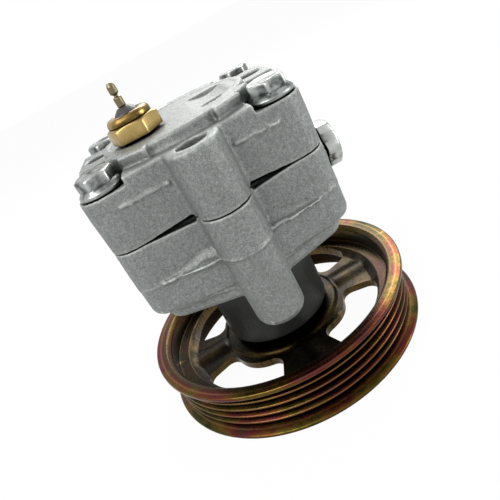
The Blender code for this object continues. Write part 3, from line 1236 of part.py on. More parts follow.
def build_valve(materials):
    """The flow control valve: spring, spool, plug and plug seal along +X."""
    first, second = SPOOL_START + SPOOL_LAND, SPOOL_START + SPOOL_LAND + SPOOL_WAIST
    land = VALVE_BORE_RADIUS - RUNNING_GAP
    spool = lathe("valve_spool", [
        (0.0, SPOOL_START - SPOOL_PIN), (SPOOL_PIN_RADIUS, SPOOL_START - SPOOL_PIN), (SPOOL_PIN_RADIUS, SPOOL_START),
        (land, SPOOL_START), (land, first), (SPOOL_WAIST_RADIUS, first),
        (SPOOL_WAIST_RADIUS, second), (land, second), (land, second + SPOOL_LAND),
        (SPOOL_PIN_RADIUS, second + SPOOL_LAND), (SPOOL_PIN_RADIUS, second + SPOOL_LAND + SPOOL_PIN / 2),
        (0.0, second + SPOOL_LAND + SPOOL_PIN / 2)], HOLE_STEPS)
    plug_end = VALVE_BOSS_FACE - PLUG_THREAD_LENGTH
    head = VALVE_BOSS_FACE + SEAT_GAP
    plug = lathe("valve_plug", [(0.0, plug_end), (PLUG_THREAD_RADIUS - EDGE_ROUND, plug_end),
                                (PLUG_THREAD_RADIUS, plug_end + EDGE_ROUND),
                                (PLUG_THREAD_RADIUS, head + CUT_EXTRA), (0.0, head + CUT_EXTRA)], HOLE_STEPS)
    hexagonal = hex_head("valve_plug_head", PLUG_FLATS, head, head + PLUG_HEAD, math.pi / 6)
    join(plug, hexagonal)
    seal = build_seal_ring("plug_seal", PLUG_SEAL_CIRCLE, PLUG_SEAL_RADIUS, VALVE_BOSS_FACE - PLUG_SEAL_RADIUS)
    coil = build_spring_coil()
    for item in (spool, plug, hexagonal, bpy.data.objects["valve_plug_head_chamfer"], seal, coil):
        point_along_x(item, VALVE_Y, VALVE_HEIGHT)
    spool.data.materials.append(materials["ground"])
    plug.data.materials.append(materials["zinc"])
    seal.data.materials.append(materials["rubber"])
    coil.data.materials.append(materials["spring"])


def build_switch(materials):
    """The pressure switch: brass body, insulator and terminal."""
    hex_top = SWITCH_SEAT + SWITCH_HEX_HEIGHT
    top = hex_top + SWITCH_CRIMP_HEIGHT
    body = lathe("switch_body", [
        (0.0, CAVITY_ROOF + SEAT_GAP), (SWITCH_THREAD_RADIUS, CAVITY_ROOF + SEAT_GAP),
        (SWITCH_THREAD_RADIUS, hex_top - EDGE_ROUND), (SWITCH_CRIMP_RADIUS, hex_top - EDGE_ROUND),
        (SWITCH_CRIMP_RADIUS, top - 2 * SWITCH_SHOULDER_ROUND),
        (SWITCH_CRIMP_RADIUS - SWITCH_SHOULDER_ROUND * ROUND_SHARE, top - SWITCH_SHOULDER_ROUND),
        (SWITCH_TOP_RADIUS, top), (SWITCH_MOUTH_RADIUS, top), (SWITCH_MOUTH_RADIUS, top - SWITCH_MOUTH_DEPTH),
        (0.0, top - SWITCH_MOUTH_DEPTH)], CASTING_STEPS)
    stand(body, SWITCH_X, SWITCH_Y)
    hexagonal = hex_head("switch_hex", SWITCH_FLATS, SWITCH_SEAT, hex_top, SWITCH_TURN)
    for item in (hexagonal, bpy.data.objects["switch_hex_chamfer"]):
        stand(item, SWITCH_X, SWITCH_Y)
    join(body, hexagonal)
    body.data.materials.append(materials["brass"])
    foot = top - SWITCH_MOUTH_DEPTH + SEAT_GAP
    cone_top = top + INSULATOR_HEIGHT
    hole = TERMINAL_WAIST_RADIUS + PRESSED_GAP
    insulator = lathe("switch_insulator", [
        (0.0, foot), (INSULATOR_RADIUS, foot), (INSULATOR_RADIUS, top), (INSULATOR_TIP_RADIUS, cone_top),
        (hole, cone_top), (hole, cone_top - TERMINAL_ROOT - PRESSED_GAP),
        (0.0, cone_top - TERMINAL_ROOT - PRESSED_GAP)], CASTING_STEPS)
    stand(insulator, SWITCH_X, SWITCH_Y).data.materials.append(materials["plastic"])
    stem_foot = cone_top + PRESSED_GAP
    stem_top = cone_top + TERMINAL_STEM
    waist_top = stem_top + TERMINAL_WAIST
    tip = waist_top + TERMINAL_BULLET
    terminal = lathe("switch_terminal", [
        (0.0, cone_top - TERMINAL_ROOT), (TERMINAL_WAIST_RADIUS, cone_top - TERMINAL_ROOT),
        (TERMINAL_WAIST_RADIUS, stem_foot), (TERMINAL_RADIUS, stem_foot), (TERMINAL_RADIUS, stem_top),
        (TERMINAL_WAIST_RADIUS, stem_top + TERMINAL_CONE), (TERMINAL_WAIST_RADIUS, waist_top),
        (TERMINAL_RADIUS, waist_top + TERMINAL_CONE), (TERMINAL_RADIUS, tip - TERMINAL_TIP_RADIUS),
        (TERMINAL_TIP_RADIUS, tip), (0.0, tip)], SMALL_STEPS)
    stand(terminal, SWITCH_X, SWITCH_Y).data.materials.append(materials["zinc"])


def build_cover_bolt(number, x, y, seat, materials):
    """One flange bolt that clamps the castings."""
    edge = SEAT_GAP + BOLT_FLANGE_EDGE
    corner = BOLT_FLATS / math.sqrt(3)
    bolt = lathe(f"cover_bolt_{number}", [
        (0.0, -BOLT_LENGTH), (BOLT_RADIUS - EDGE_ROUND, -BOLT_LENGTH), (BOLT_RADIUS, EDGE_ROUND - BOLT_LENGTH),
        (BOLT_RADIUS, SEAT_GAP), (BOLT_FLANGE_RADIUS - SEAT_GAP, SEAT_GAP),
        (BOLT_FLANGE_RADIUS, 2 * SEAT_GAP), (BOLT_FLANGE_RADIUS, edge), (corner - SEAT_GAP, BOLT_FLANGE_RISE),
        (0.0, BOLT_FLANGE_RISE)], CASTING_STEPS)
    turn = BOLT_TURNS[number - 1]
    head = hex_head(f"bolt_head_{number}", BOLT_FLATS, edge, SEAT_GAP + BOLT_HEAD_HEIGHT, turn)
    for item in (bolt, head, bpy.data.objects[f"bolt_head_{number}_chamfer"]):
        stand(item, x, y, seat)
    join(bolt, head)
    bolt.data.materials.append(materials["zinc"])


def build_materials():
    """All finishes, by name."""
    return {
        "casting": finish_material("cast_aluminium", (0.42, 0.43, 0.42), 0.62, 0.75),
        "pulley": finish_material("yellow_zinc", (0.42, 0.33, 0.22), 0.38, 0.9),
        "zinc": finish_material("bright_zinc", (0.66, 0.67, 0.68), 0.3, 0.95),
        "brass": finish_material("brass", (0.62, 0.47, 0.2), 0.33, 1.0),
        "plastic": finish_material("dark_plastic", (0.035, 0.033, 0.03), 0.5, 0.0),
        "rubber": finish_material("black_rubber", (0.02, 0.02, 0.02), 0.75, 0.0),
        "ground": finish_material("ground_steel", (0.58, 0.58, 0.58), 0.22, 1.0),
        "spring": finish_material("spring_steel", (0.3, 0.3, 0.32), 0.35, 1.0),
        "sintered": finish_material("sintered_iron", (0.24, 0.24, 0.24), 0.5, 0.9),
        "bronze": finish_material("bearing_bronze", (0.5, 0.34, 0.17), 0.4, 1.0),
    }


def main():
    """Build the whole pump."""
    clear_scene()
    materials = build_materials()
    gaps = [build_joint_gap(side) for side in (-1, 1)]
    build_housing(materials, gaps)
    build_cover(materials, gaps)
    build_pulley(materials)
    build_shaft(materials)
    build_pulley_fixing(materials)
    build_bearing(materials)
    build_seal_and_bush(materials)
    build_cartridge(materials)
    build_valve(materials)
    build_switch(materials)
    for number, (x, y, seat) in enumerate(bolt_places(), 1):
        build_cover_bolt(number, x, y, seat, materials)


main()
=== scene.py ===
"""Looks for a vane pump for power steering: rough castings, bright bolts, brass switch, iridescent pulley."""
import json
import math

import bmesh
import bpy
from mathutils import Matrix, Vector, noise

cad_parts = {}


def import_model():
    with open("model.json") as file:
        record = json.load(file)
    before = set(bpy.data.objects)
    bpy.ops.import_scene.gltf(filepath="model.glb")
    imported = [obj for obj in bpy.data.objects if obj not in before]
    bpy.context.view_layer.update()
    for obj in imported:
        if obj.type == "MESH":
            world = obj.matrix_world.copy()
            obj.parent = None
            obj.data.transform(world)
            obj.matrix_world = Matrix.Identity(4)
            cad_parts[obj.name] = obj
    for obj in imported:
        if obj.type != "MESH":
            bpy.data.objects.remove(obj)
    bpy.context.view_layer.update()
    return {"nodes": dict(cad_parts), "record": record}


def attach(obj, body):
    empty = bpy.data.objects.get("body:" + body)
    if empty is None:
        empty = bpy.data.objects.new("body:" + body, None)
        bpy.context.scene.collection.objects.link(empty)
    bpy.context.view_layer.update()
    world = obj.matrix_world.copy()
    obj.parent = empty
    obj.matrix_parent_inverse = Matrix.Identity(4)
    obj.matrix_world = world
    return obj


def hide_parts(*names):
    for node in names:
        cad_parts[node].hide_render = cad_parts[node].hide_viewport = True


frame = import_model()

# Camera, found from the circles of the pulley in the photograph
CAMERA_PLACE = (0.0, -0.1851, 0.13435)
CAMERA_TILT = 0.5464
CAMERA_ROLL = 0.5066
CAMERA_YAW_TRIM = 0.0063
CAMERA_TILT_TRIM = -0.0978
SENSOR_WIDTH = 36.0
FOCAL_PIXELS = 493.12
FRAME_PIXELS = 500
CLIP_START = 0.01
CLIP_END = 20.0

# Sizes shared with the solids, in metres
RIB_PITCH = 0.00356
GROOVE_COUNT = 5
LOWER_FLANGE = 0.00181
UPPER_FLANGE = 0.00214
LOWER_FLANGE_RADIUS = 0.0574
UPPER_FLANGE_RADIUS = 0.0569
CREST_RADIUS = 0.0547
GROOVE_DEPTH = 0.0027
RIM_HEIGHT = LOWER_FLANGE + GROOVE_COUNT * RIB_PITCH + UPPER_FLANGE
RIM_INNER = 0.0503
RIM_FOOT_INNER = 0.0490
LEDGE_HEIGHT = 0.0132
LEDGE_INNER = 0.0452
WEB_HEIGHT = 0.01075
WEB_THICKNESS = 0.003
PLATEAU_RADIUS = 0.0255
PLATEAU_RISE = 0.0015
HUB_RADIUS = 0.0118
HUB_TOP = 0.0172
HUB_BORE = 0.0076
SPOKE_COUNT = 4
SPOKE_TURN = math.radians(3)
SPOKE_RISE = 0.0011
WINDOW_INNER = 0.0284
WINDOW_OUTER = 0.0436
WINDOW_SPREAD = math.radians(53)
WINDOW_CORNER = 0.00456
WINDOW_OUTER_BOW = 0.7
WINDOW_INNER_BOW = 0.55
COVER_PARTING = 0.0953
SEAT_GAP = 0.0003
BOLT_PLACES = ((-0.0303, -0.028, 0.1015, 8), (0.0303, -0.028, 0.1015, 21), (-0.0328, 0.042, 0.0998, 14),
               (0.0328, 0.042, 0.0998, 3))
HOLES = tuple(place[:2] for place in BOLT_PLACES) + ((0.001, -0.040), (-0.0342, 0.020), (0.0342, 0.020))

# Mesh steps and limits
RIM_STEPS = 224
WEB_STEPS = 24
HEAD_STEPS = 96
TURNED_STEPS = 72
ARC_STEPS = 4
EDGE_STEPS = 3
WINDOW_STEP = math.radians(5)
SHARP_ANGLE = math.radians(50)
MERGE_DISTANCE = 1e-6
SHORTEST_SIDE = 0.00002
SAME_HEIGHT = 0.0001

# Pulley section
FLANGE_SLOPE = 0.0006
CREST_HALF = 0.0003
GROOVE_FLOOR_HALF = 0.0004
LIP_ROUND = 0.0016
LEDGE_FOOT = LEDGE_INNER - 0.0024
UNDER_RUN = 0.0012
RIM_EDGE_ROUND = 0.0005
WEB_EDGE_ROUND = 0.0009
SPOKE_HALF_WIDTH = 0.0078
SPOKE_START_RUN = 0.003
SPOKE_END_RUN = 0.0035
WINDOW_CUT = (0.004, 0.018)

# Hexagon heads
HEX_WEAR = 0.985
HEX_FACE = 0.95
HEX_SLOPE = math.tan(math.radians(30))
HEX_EDGE = 0.00022
DISH_SHARE = 0.72
DISH_MIDDLE_SHARE = 0.2
DISH_DEPTH = 0.00025

# Turned pieces, as (radius, height) profiles
BOLT_FLATS = 0.0120
BOLT_HEX_FOOT = 0.0031
BOLT_TOP = 0.0069
BOLT_SHANK = 0.00395
BOLT_BELOW = ((0.0031, -0.0400), (BOLT_SHANK, -0.0391), (BOLT_SHANK, SEAT_GAP), (0.0074, SEAT_GAP),
              (0.0078, 0.0005), (0.0079, 0.0008), (0.0079, 0.0013), (0.00785, 0.0016), (0.0076, 0.0019),
              (0.0071, 0.0024), (0.0066, 0.0030))
PLUG_FACE = 0.0448
PLUG_Y = 0.0010
PLUG_HEIGHT = 0.0702
PLUG_FLATS = 0.017
PLUG_HEX_FOOT = 0.0009
PLUG_HEAD = 0.0061
PLUG_BELOW = ((0.0061, -0.0085), (0.0070, -0.0076), (0.0070, SEAT_GAP), (0.0080, SEAT_GAP), (0.0083, 0.0006))
SWITCH_PLACE = (-0.0130, -0.0098)
SWITCH_TURN = math.radians(-8.8)
SWITCH_FLATS = 0.0170
SWITCH_SEAT = 0.1084
SWITCH_HEX_FOOT = SWITCH_SEAT + 0.0007
SWITCH_HEX_TOP = 0.1146
SWITCH_TOP = 0.1174
SWITCH_BELOW = ((0.0044, SWITCH_SEAT - 0.0068), (0.0049, SWITCH_SEAT - 0.0063), (0.0049, SWITCH_SEAT),
                (0.0078, SWITCH_SEAT), (0.0082, SWITCH_SEAT + 0.0005))
SWITCH_SHOULDER = ((0.0078, SWITCH_HEX_TOP), (0.0080, SWITCH_HEX_TOP + 0.0003), (0.0080, SWITCH_HEX_TOP + 0.0014),
                   (0.0072, SWITCH_TOP - 0.0002), (0.0060, SWITCH_TOP), (0.0047, SWITCH_TOP),
                   (0.0047, SWITCH_TOP - 0.0014), (0.0010, SWITCH_TOP - 0.0014))
SWITCH_ROUND = 0.0007
INSULATOR_FOOT = 0.1163
CONE_TOP = 0.1193
INSULATOR = ((0.0008, INSULATOR_FOOT), (0.0043, INSULATOR_FOOT), (0.0043, SWITCH_TOP), (0.0021, CONE_TOP),
             (0.0008, CONE_TOP))
INSULATOR_ROUND = 0.0004
TERMINAL_STEM = CONE_TOP + 0.0033
TERMINAL_NECK = TERMINAL_STEM + 0.0009
TERMINAL_TOP = 0.1276
TERMINAL = ((0.0007, CONE_TOP - 0.0011), (0.00075, CONE_TOP + 0.0001), (0.00135, CONE_TOP + 0.0001),
            (0.0015, CONE_TOP + 0.0004), (0.0015, TERMINAL_STEM), (0.00075, TERMINAL_STEM + 0.0004),
            (0.00075, TERMINAL_NECK), (0.0015, TERMINAL_NECK + 0.0005), (0.0015, TERMINAL_TOP - 0.0012),
            (0.0009, TERMINAL_TOP), (0.0002, TERMINAL_TOP))
TERMINAL_ROUND = 0.00025

# Where a finish, painted shade and painted highlights change, as (from, to) radii and heights
NOSE_WALL = (0.0232, 0.0236)
NOSE_TOP = (0.0486, 0.0496)
RIM_INSIDE_TO_OUTSIDE = (0.0505, 0.0518)
GROOVE_FLOOR_TO_CREST = (0.0523, 0.0545)
CREST_START = (0.05435, 0.05465)
CREST_END = (0.0549, 0.0552)
WELL_FOOT_TO_LIP = (0.0110, 0.0212)
WEB_TO_LEDGE = (0.0440, 0.0470)
LIP_HEIGHT = (0.0206, 0.0214)
LIP_OUTSIDE = (0.0525, 0.0535)

# Skins of the castings
SKIN_VOXEL = 0.00042
SKIN_SHARE = 0.30
SOFTEN_FACTOR = 0.5
SOFTEN_TURNS = 4
CAST_SWELL = 0.00008
SWELL_WAVES = ((330.0, 0.6), (900.0, 0.4))
OUTER_WALL_RADIUS = 0.0330
HOLE_REACH = 0.0060

# Seams: a level on the wall, and (half height, reach, sway)
WING_HEIGHT = 0.0676
WING_LINE = -0.0335
WING_NEAR = 0.0125
WING_FAR = 0.0270
WING_STRIP = (0.0010, 0.0007, 0.0007)
WING_RIDGE = (0.0004, 0.0003, 0.0004)
PARTING_RIDGE = (0.0004, 0.00042, 0.0003)
GATE_HEIGHT = COVER_PARTING + 0.0012
GATE_LINE = -0.0360
GATE_NEAR = 0.0130
GATE_FAR = 0.0240
GATE_STRIP = (0.0008, 0.0006, 0.0005)
SEAM_STEP = 0.0012
SEAM_DEPTH = 0.0012
WAVER_SCALE = 420.0
SWAY_SCALE = 180.0
SWAY_SHIFT = Vector((3.0, 5.0, 7.0))
STEEPEST_WALL = 0.5

# Stage
FLOOR_HALF = 6.0
FLOOR_GREY = 0.86
FLOOR_WHITE = 0.96
SOFT_LIGHT = 0.5
LIGHT_TARGET = (0.0, 0.0, 0.07)
SOFTBOXES = (("key_softbox", (-0.45, -0.35, 0.65), 0.5, 0.5, 5.0), ("rear_softbox", (0.25, 0.6, 0.55), 0.6, 0.3, 5.0),
             ("side_softbox", (0.7, -0.2, 0.25), 0.25, 0.5, 2.5))


class Nodes:
    """Small help for writing shader trees."""

    def __init__(self, name):
        self.material = bpy.data.materials.new(name)
        self.material.use_nodes = True
        self.tree = self.material.node_tree
        self.tree.nodes.clear()
        self.output = self.add("ShaderNodeOutputMaterial")
        self.shader = self.add("ShaderNodeBsdfPrincipled")
        self.link(self.shader.outputs["BSDF"], self.output.inputs["Surface"])
        self.place = self.add("ShaderNodeTexCoord").outputs["Object"]

    def add(self, kind, **settings):
        node = self.tree.nodes.new(kind)
        for key, value in settings.items():
            setattr(node, key, value)
        return node

    def link(self, source, target):
        self.tree.links.new(source, target)

    def feed(self, socket, value):
        if isinstance(value, bpy.types.NodeSocket):
            self.link(value, socket)
        else:
            socket.default_value = value

    def noise(self, scale, detail=3.0, roughness=0.5, distortion=0.0, vector=None):
        node = self.add("ShaderNodeTexNoise")
        self.link(vector or self.place, node.inputs["Vector"])
        node.inputs["Scale"].default_value = scale
        node.inputs["Detail"].default_value = detail
        node.inputs["Roughness"].default_value = roughness
        node.inputs["Distortion"].default_value = distortion
        return node.outputs["Fac"]

    def ramp(self, factor, *stops):
        node = self.add("ShaderNodeValToRGB")
        self.link(factor, node.inputs["Fac"])
        elements = node.color_ramp.elements
        while len(elements) < len(stops):
            elements.new(0.5)
        for element, (place, colour) in zip(elements, stops):
            element.position = place
            element.color = (*colour, 1.0)
        return node.outputs["Color"]

    def spread(self, factor, low, high, to_low, to_high):
        node = self.add("ShaderNodeMapRange")
        self.link(factor, node.inputs["Value"])
        for name, value in (("From Min", low), ("From Max", high), ("To Min", to_low), ("To Max", to_high)):
            node.inputs[name].default_value = value
        return node.outputs["Result"]

    def mix(self, factor, first, second, mode="MIX"):
        node = self.add("ShaderNodeMix", data_type="RGBA", blend_type=mode)
        self.feed(node.inputs["Factor"], factor)
        self.feed(node.inputs["A"], first)
        self.feed(node.inputs["B"], second)
        return node.outputs["Result"]

    def sum(self, first, second, operation="ADD"):
        node = self.add("ShaderNodeMath", operation=operation)
        self.feed(node.inputs[0], first)
        self.feed(node.inputs[1], second)
        return node.outputs["Value"]

    def bump(self, height, distance, strength=1.0, normal=None):
        node = self.add("ShaderNodeBump")
        self.link(height, node.inputs["Height"])
        node.inputs["Distance"].default_value = distance
        node.inputs["Strength"].default_value = strength
        if normal is not None:
            self.link(normal, node.inputs["Normal"])
        return node.outputs["Normal"]

    def soft_edges(self, radius):
        node = self.add("ShaderNodeBevel", samples=6)
        node.inputs["Radius"].default_value = radius
        return node.outputs["Normal"]

    def occlusion_amount(self, distance):
        node = self.add("ShaderNodeAmbientOcclusion", samples=8)
        node.inputs["Distance"].default_value = distance
        return node.outputs["AO"]

    def pointed(self):
        return self.add("ShaderNodeNewGeometry").outputs["Pointiness"]

    def scaled(self, factors):
        node = self.add("ShaderNodeVectorMath", operation="MULTIPLY")
        self.link(self.place, node.inputs[0])
        node.inputs[1].default_value = factors
        return node.outputs["Vector"]

    def axis(self, name):
        node = self.add("ShaderNodeSeparateXYZ")
        self.link(self.place, node.inputs["Vector"])
        return node.outputs[name]

    def radius(self):
        flat = self.add("ShaderNodeVectorMath", operation="MULTIPLY")
        self.link(self.place, flat.inputs[0])
        flat.inputs[1].default_value = (1.0, 1.0, 0.0)
        length = self.add("ShaderNodeVectorMath", operation="LENGTH")
        self.link(flat.outputs["Vector"], length.inputs[0])
        return length.outputs["Value"]

    def worn(self, base, low, high, share, colour):
        """Mix a wear colour in at outer edges."""
        return self.mix(self.spread(self.pointed(), low, high, 0.0, share), base, colour)

    def shaded(self, base, distance, closed, dark, clear):
        """Painted shade: darken the base colour where other surfaces are near."""
        shade = self.ramp(self.occlusion_amount(distance), (closed, dark), (clear, (1.0, 1.0, 1.0)))
        return self.mix(1.0, base, shade, "MULTIPLY")

    def finish(self, colour, roughness, metallic, normal=None):
        self.feed(self.shader.inputs["Base Color"], colour)
        self.feed(self.shader.inputs["Roughness"], roughness)
        self.shader.inputs["Metallic"].default_value = metallic
        if normal is not None:
            self.link(normal, self.shader.inputs["Normal"])
        return self.material


def rgb(red, green, blue):
    """A colour socket's value."""
    return (red, green, blue, 1.0)


def cast_aluminium():
    """Castings as they leave the mould: grey with a fine sparkle and bright edges, painted shade in the corners, and
    a smoother nose painted dark for the shade under the body and the reflection of the dark pulley.
    """
    n = Nodes("cast_aluminium")
    grain = n.noise(2900.0, 2.0, 0.6)
    speck = n.noise(900.0, 4.0, 0.7)
    blotch = n.noise(110.0, 4.0, 0.6, 0.5)
    mixed = n.sum(n.sum(grain, 0.55, "MULTIPLY"), n.sum(speck, 0.45, "MULTIPLY"))
    base = n.ramp(mixed, (0.34, (0.105, 0.112, 0.108)), (0.50, (0.205, 0.216, 0.209)), (0.66, (0.335, 0.350, 0.338)))
    base = n.mix(n.spread(blotch, 0.40, 0.70, 0.0, 0.30), base, rgb(0.150, 0.160, 0.152))
    base = n.worn(base, 0.505, 0.56, 0.65, rgb(0.52, 0.55, 0.525))
    # Painted shade: darker close in to other surfaces, with a wider soft darkening further out.
    base = n.shaded(base, 0.0035, 0.35, (0.30, 0.30, 0.29), 0.90)
    base = n.shaded(base, 0.016, 0.06, (0.10, 0.10, 0.10), 0.50)
    radius, height = n.radius(), n.axis("Z")
    # The nose: smoother, and painted dark for the shade under the body and the reflection of the dark pulley.
    shaded_nose = n.sum(n.spread(radius, *NOSE_WALL, 1.0, 0.0), n.spread(height, *NOSE_TOP, 1.0, 0.0), "MULTIPLY")
    base = n.mix(shaded_nose, base, rgb(0.060, 0.063, 0.060))
    rough = n.mix(shaded_nose, n.spread(mixed, 0.3, 0.7, 0.62, 0.46), rgb(0.34, 0.34, 0.34))
    waves = n.bump(n.noise(260.0, 3.0, 0.55), 0.0005, 0.30, n.soft_edges(0.0004))
    pits = n.bump(mixed, 0.00022, 0.75, waves)
    return n.finish(base, rough, 0.62, pits)


def iridescent_zinc():
    """Yellow passivated zinc: olive, red brown, magenta and green drifts, a dark well and web, painted highlights on
    the crests and the lip, and painted shade in the grooves, down the well and in corners.
    """
    n = Nodes("iridescent_zinc")
    radius, height = n.radius(), n.axis("Z")
    drift = n.noise(24.0, 3.0, 0.55, 0.8, n.scaled((1.0, 1.0, 2.6)))
    lines = n.noise(85.0, 3.0, 0.6, 0.3, n.scaled((1.0, 1.0, 6.0)))
    fine = n.noise(900.0, 3.0, 0.6)
    film = n.sum(n.sum(drift, 0.62, "MULTIPLY"), n.sum(lines, 0.38, "MULTIPLY"))
    hue = n.ramp(film, (0.34, (0.014, 0.019, 0.004)), (0.41, (0.048, 0.046, 0.007)), (0.46, (0.125, 0.072, 0.014)),
                 (0.51, (0.120, 0.030, 0.014)), (0.56, (0.105, 0.018, 0.028)), (0.62, (0.026, 0.042, 0.008)),
                 (0.70, (0.130, 0.105, 0.020)))
    outside = n.spread(radius, *RIM_INSIDE_TO_OUTSIDE, 0.0, 1.0)
    # Painted shade: the groove floors go nearly black, clearing towards the crests.
    groove_shade_fade = n.spread(radius, *GROOVE_FLOOR_TO_CREST, 0.0, 1.0)
    grooved = n.mix(groove_shade_fade, rgb(0.008, 0.003, 0.002), hue)
    # Painted highlight: a gold line along each crest.
    crest = n.sum(n.spread(radius, *CREST_START, 0.0, 0.60), n.spread(radius, *CREST_END, 1.0, 0.0), "MULTIPLY")
    grooved = n.mix(crest, grooved, rgb(0.26, 0.13, 0.05))
    # Painted shade: the well darkens towards its foot.
    well_shade = n.ramp(n.spread(height, *WELL_FOOT_TO_LIP, 0.0, 1.0), (0.0, (0.16, 0.14, 0.10)), (1.0, (1.0, 1.0, 1.0)))
    well = n.mix(1.0, n.mix(0.35, hue, rgb(0.040, 0.030, 0.009)), well_shade, "MULTIPLY")
    web = n.spread(radius, *WEB_TO_LEDGE, 1.0, 0.0)
    web_look = n.mix(n.spread(lines, 0.42, 0.62, 0.0, 1.0), rgb(0.006, 0.004, 0.002), rgb(0.030, 0.019, 0.006))
    well = n.mix(web, well, web_look)
    base = n.mix(outside, well, grooved)
    # Painted light: the upward top of the lip made lighter gold.
    lip_light = n.sum(n.spread(height, *LIP_HEIGHT, 0.0, 0.35), n.spread(radius, *LIP_OUTSIDE, 1.0, 0.0), "MULTIPLY")
    base = n.mix(lip_light, base, rgb(0.16, 0.10, 0.035))
    base = n.mix(n.spread(fine, 0.42, 0.75, 0.0, 0.25), base, rgb(0.045, 0.032, 0.012))
    base = n.worn(base, 0.53, 0.60, 0.5, rgb(0.34, 0.23, 0.09))
    # Painted shade where other surfaces are near.
    base = n.shaded(base, 0.018, 0.25, (0.16, 0.15, 0.13), 0.95)
    normal = n.bump(n.noise(420.0, 3.0, 0.5), 0.00022, 0.22, n.soft_edges(0.0003))
    return n.finish(base, n.spread(fine, 0.3, 0.7, 0.24, 0.36), 1.0, normal)


def bright_zinc():
    """Bright plated bolts and plug: dark and light patches, small dents, worn edges."""
    n = Nodes("bright_zinc")
    tint = n.noise(230.0, 4.0, 0.6, 0.4)
    base = n.ramp(tint, (0.38, (0.045, 0.050, 0.048)), (0.50, (0.150, 0.160, 0.156)), (0.64, (0.34, 0.36, 0.35)))
    base = n.worn(base, 0.505, 0.56, 0.8, rgb(0.52, 0.54, 0.52))
    # Painted shade where other surfaces are near.
    base = n.shaded(base, 0.004, 0.35, (0.22, 0.22, 0.22), 0.95)
    normal = n.bump(n.noise(520.0, 3.0, 0.5), 0.00022, 0.32, n.soft_edges(0.0003))
    return n.finish(base, n.spread(tint, 0.3, 0.7, 0.40, 0.24), 1.0, normal)


def turned_brass():
    """The switch's brass, with brown-tinted painted shade in its corners."""
    n = Nodes("turned_brass")
    tint = n.noise(240.0, 4.0, 0.6, 0.4)
    base = n.ramp(tint, (0.36, (0.040, 0.020, 0.005)), (0.50, (0.130, 0.075, 0.016)), (0.64, (0.33, 0.22, 0.065)))
    base = n.worn(base, 0.505, 0.56, 0.7, rgb(0.50, 0.37, 0.15))
    # Painted shade, brown-tinted, where other surfaces are near.
    base = n.shaded(base, 0.004, 0.35, (0.24, 0.20, 0.14), 0.95)
    normal = n.bump(n.noise(700.0, 3.0, 0.5), 0.00015, 0.3, n.soft_edges(0.0003))
    return n.finish(base, n.spread(tint, 0.3, 0.7, 0.36, 0.22), 1.0, normal)


def plain_metal(name, colour, roughness, scale):
    """Hidden steel, iron and bronze pieces: fine turned grain."""
    n = Nodes(name)
    tint = n.noise(scale, 3.0, 0.5)
    dark = tuple(part * 0.8 for part in colour)
    base = n.ramp(tint, (0.35, dark), (0.65, colour))
    return n.finish(base, n.spread(tint, 0.3, 0.7, roughness + 0.06, roughness), 1.0,
                    n.bump(tint, 0.0001, 0.3, n.soft_edges(0.0003)))


def moulded(name, colour, roughness):
    """Plastic and rubber with a faint skin."""
    n = Nodes(name)
    grain = n.noise(1800.0, 3.0, 0.5)
    lighter = tuple(part * 1.5 for part in colour)
    base = n.ramp(grain, (0.35, colour), (0.65, lighter))
    return n.finish(base, n.spread(grain, 0.3, 0.7, roughness, roughness + 0.1), 0.0,
                    n.bump(grain, 0.0001, 0.3, n.soft_edges(0.0003)))


FINISHES = {
    "cast_aluminium": cast_aluminium(),
    "yellow_zinc": iridescent_zinc(),
    "bright_zinc": bright_zinc(),
    "brass": turned_brass(),
    "terminal": plain_metal("dark_terminal", (0.20, 0.17, 0.10), 0.34, 700.0),
    "dark_plastic": moulded("dark_insulator", (0.03, 0.028, 0.025), 0.4),
    "black_rubber": moulded("black_seal_rubber", (0.015, 0.015, 0.015), 0.6),
    "ground_steel": plain_metal("ground_steel", (0.6, 0.6, 0.6), 0.2, 900.0),
    "spring_steel": plain_metal("oiled_spring_steel", (0.34, 0.34, 0.36), 0.3, 900.0),
    "sintered_iron": plain_metal("sintered_iron", (0.26, 0.26, 0.26), 0.5, 1600.0),
    "bearing_bronze": plain_metal("bush_bronze", (0.52, 0.36, 0.18), 0.35, 900.0),
}


def dress_all():
    """Every CAD node gets the finish of its material slot."""
    for part in frame["record"]["subparts"]:
        item = frame["nodes"][part["node"]]
        item.data.materials.clear()
        item.data.materials.append(FINISHES[part["material_slot"]])


def to_data(name, mesh):
    """A new mesh from a bmesh, which ends here."""
    data = bpy.data.meshes.new(name)
    mesh.to_mesh(data)
    mesh.free()
    return data


def linked(name, data):
    """A new object in the scene."""
    item = bpy.data.objects.new(name, data)
    bpy.context.scene.collection.objects.link(item)
    return item


def evaluated(item):
    """The mesh that an object's modifiers leave."""
    bpy.context.view_layer.update()
    graph = bpy.context.evaluated_depsgraph_get()
    return bpy.data.meshes.new_from_object(item.evaluated_get(graph))


def keep(name, mesh, material, body, slot, *nodes):
    """Make a bmesh into a piece that stands for CAD nodes and moves with their body."""
    bmesh.ops.remove_doubles(mesh, verts=mesh.verts, dist=MERGE_DISTANCE)
    bmesh.ops.recalc_face_normals(mesh, faces=mesh.faces)
    place(name, to_data(name, mesh), material, body, slot, *nodes)


def place(name, data, material, body, slot, *nodes):
    """Put a finished mesh into the scene for its CAD nodes, smooth but for its sharp edges."""
    data.materials.clear()
    data.materials.append(material)
    data.shade_smooth()
    data.set_sharp_from_angle(angle=SHARP_ANGLE)
    item = linked(name, data)
    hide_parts(*nodes)
    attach(item, body)


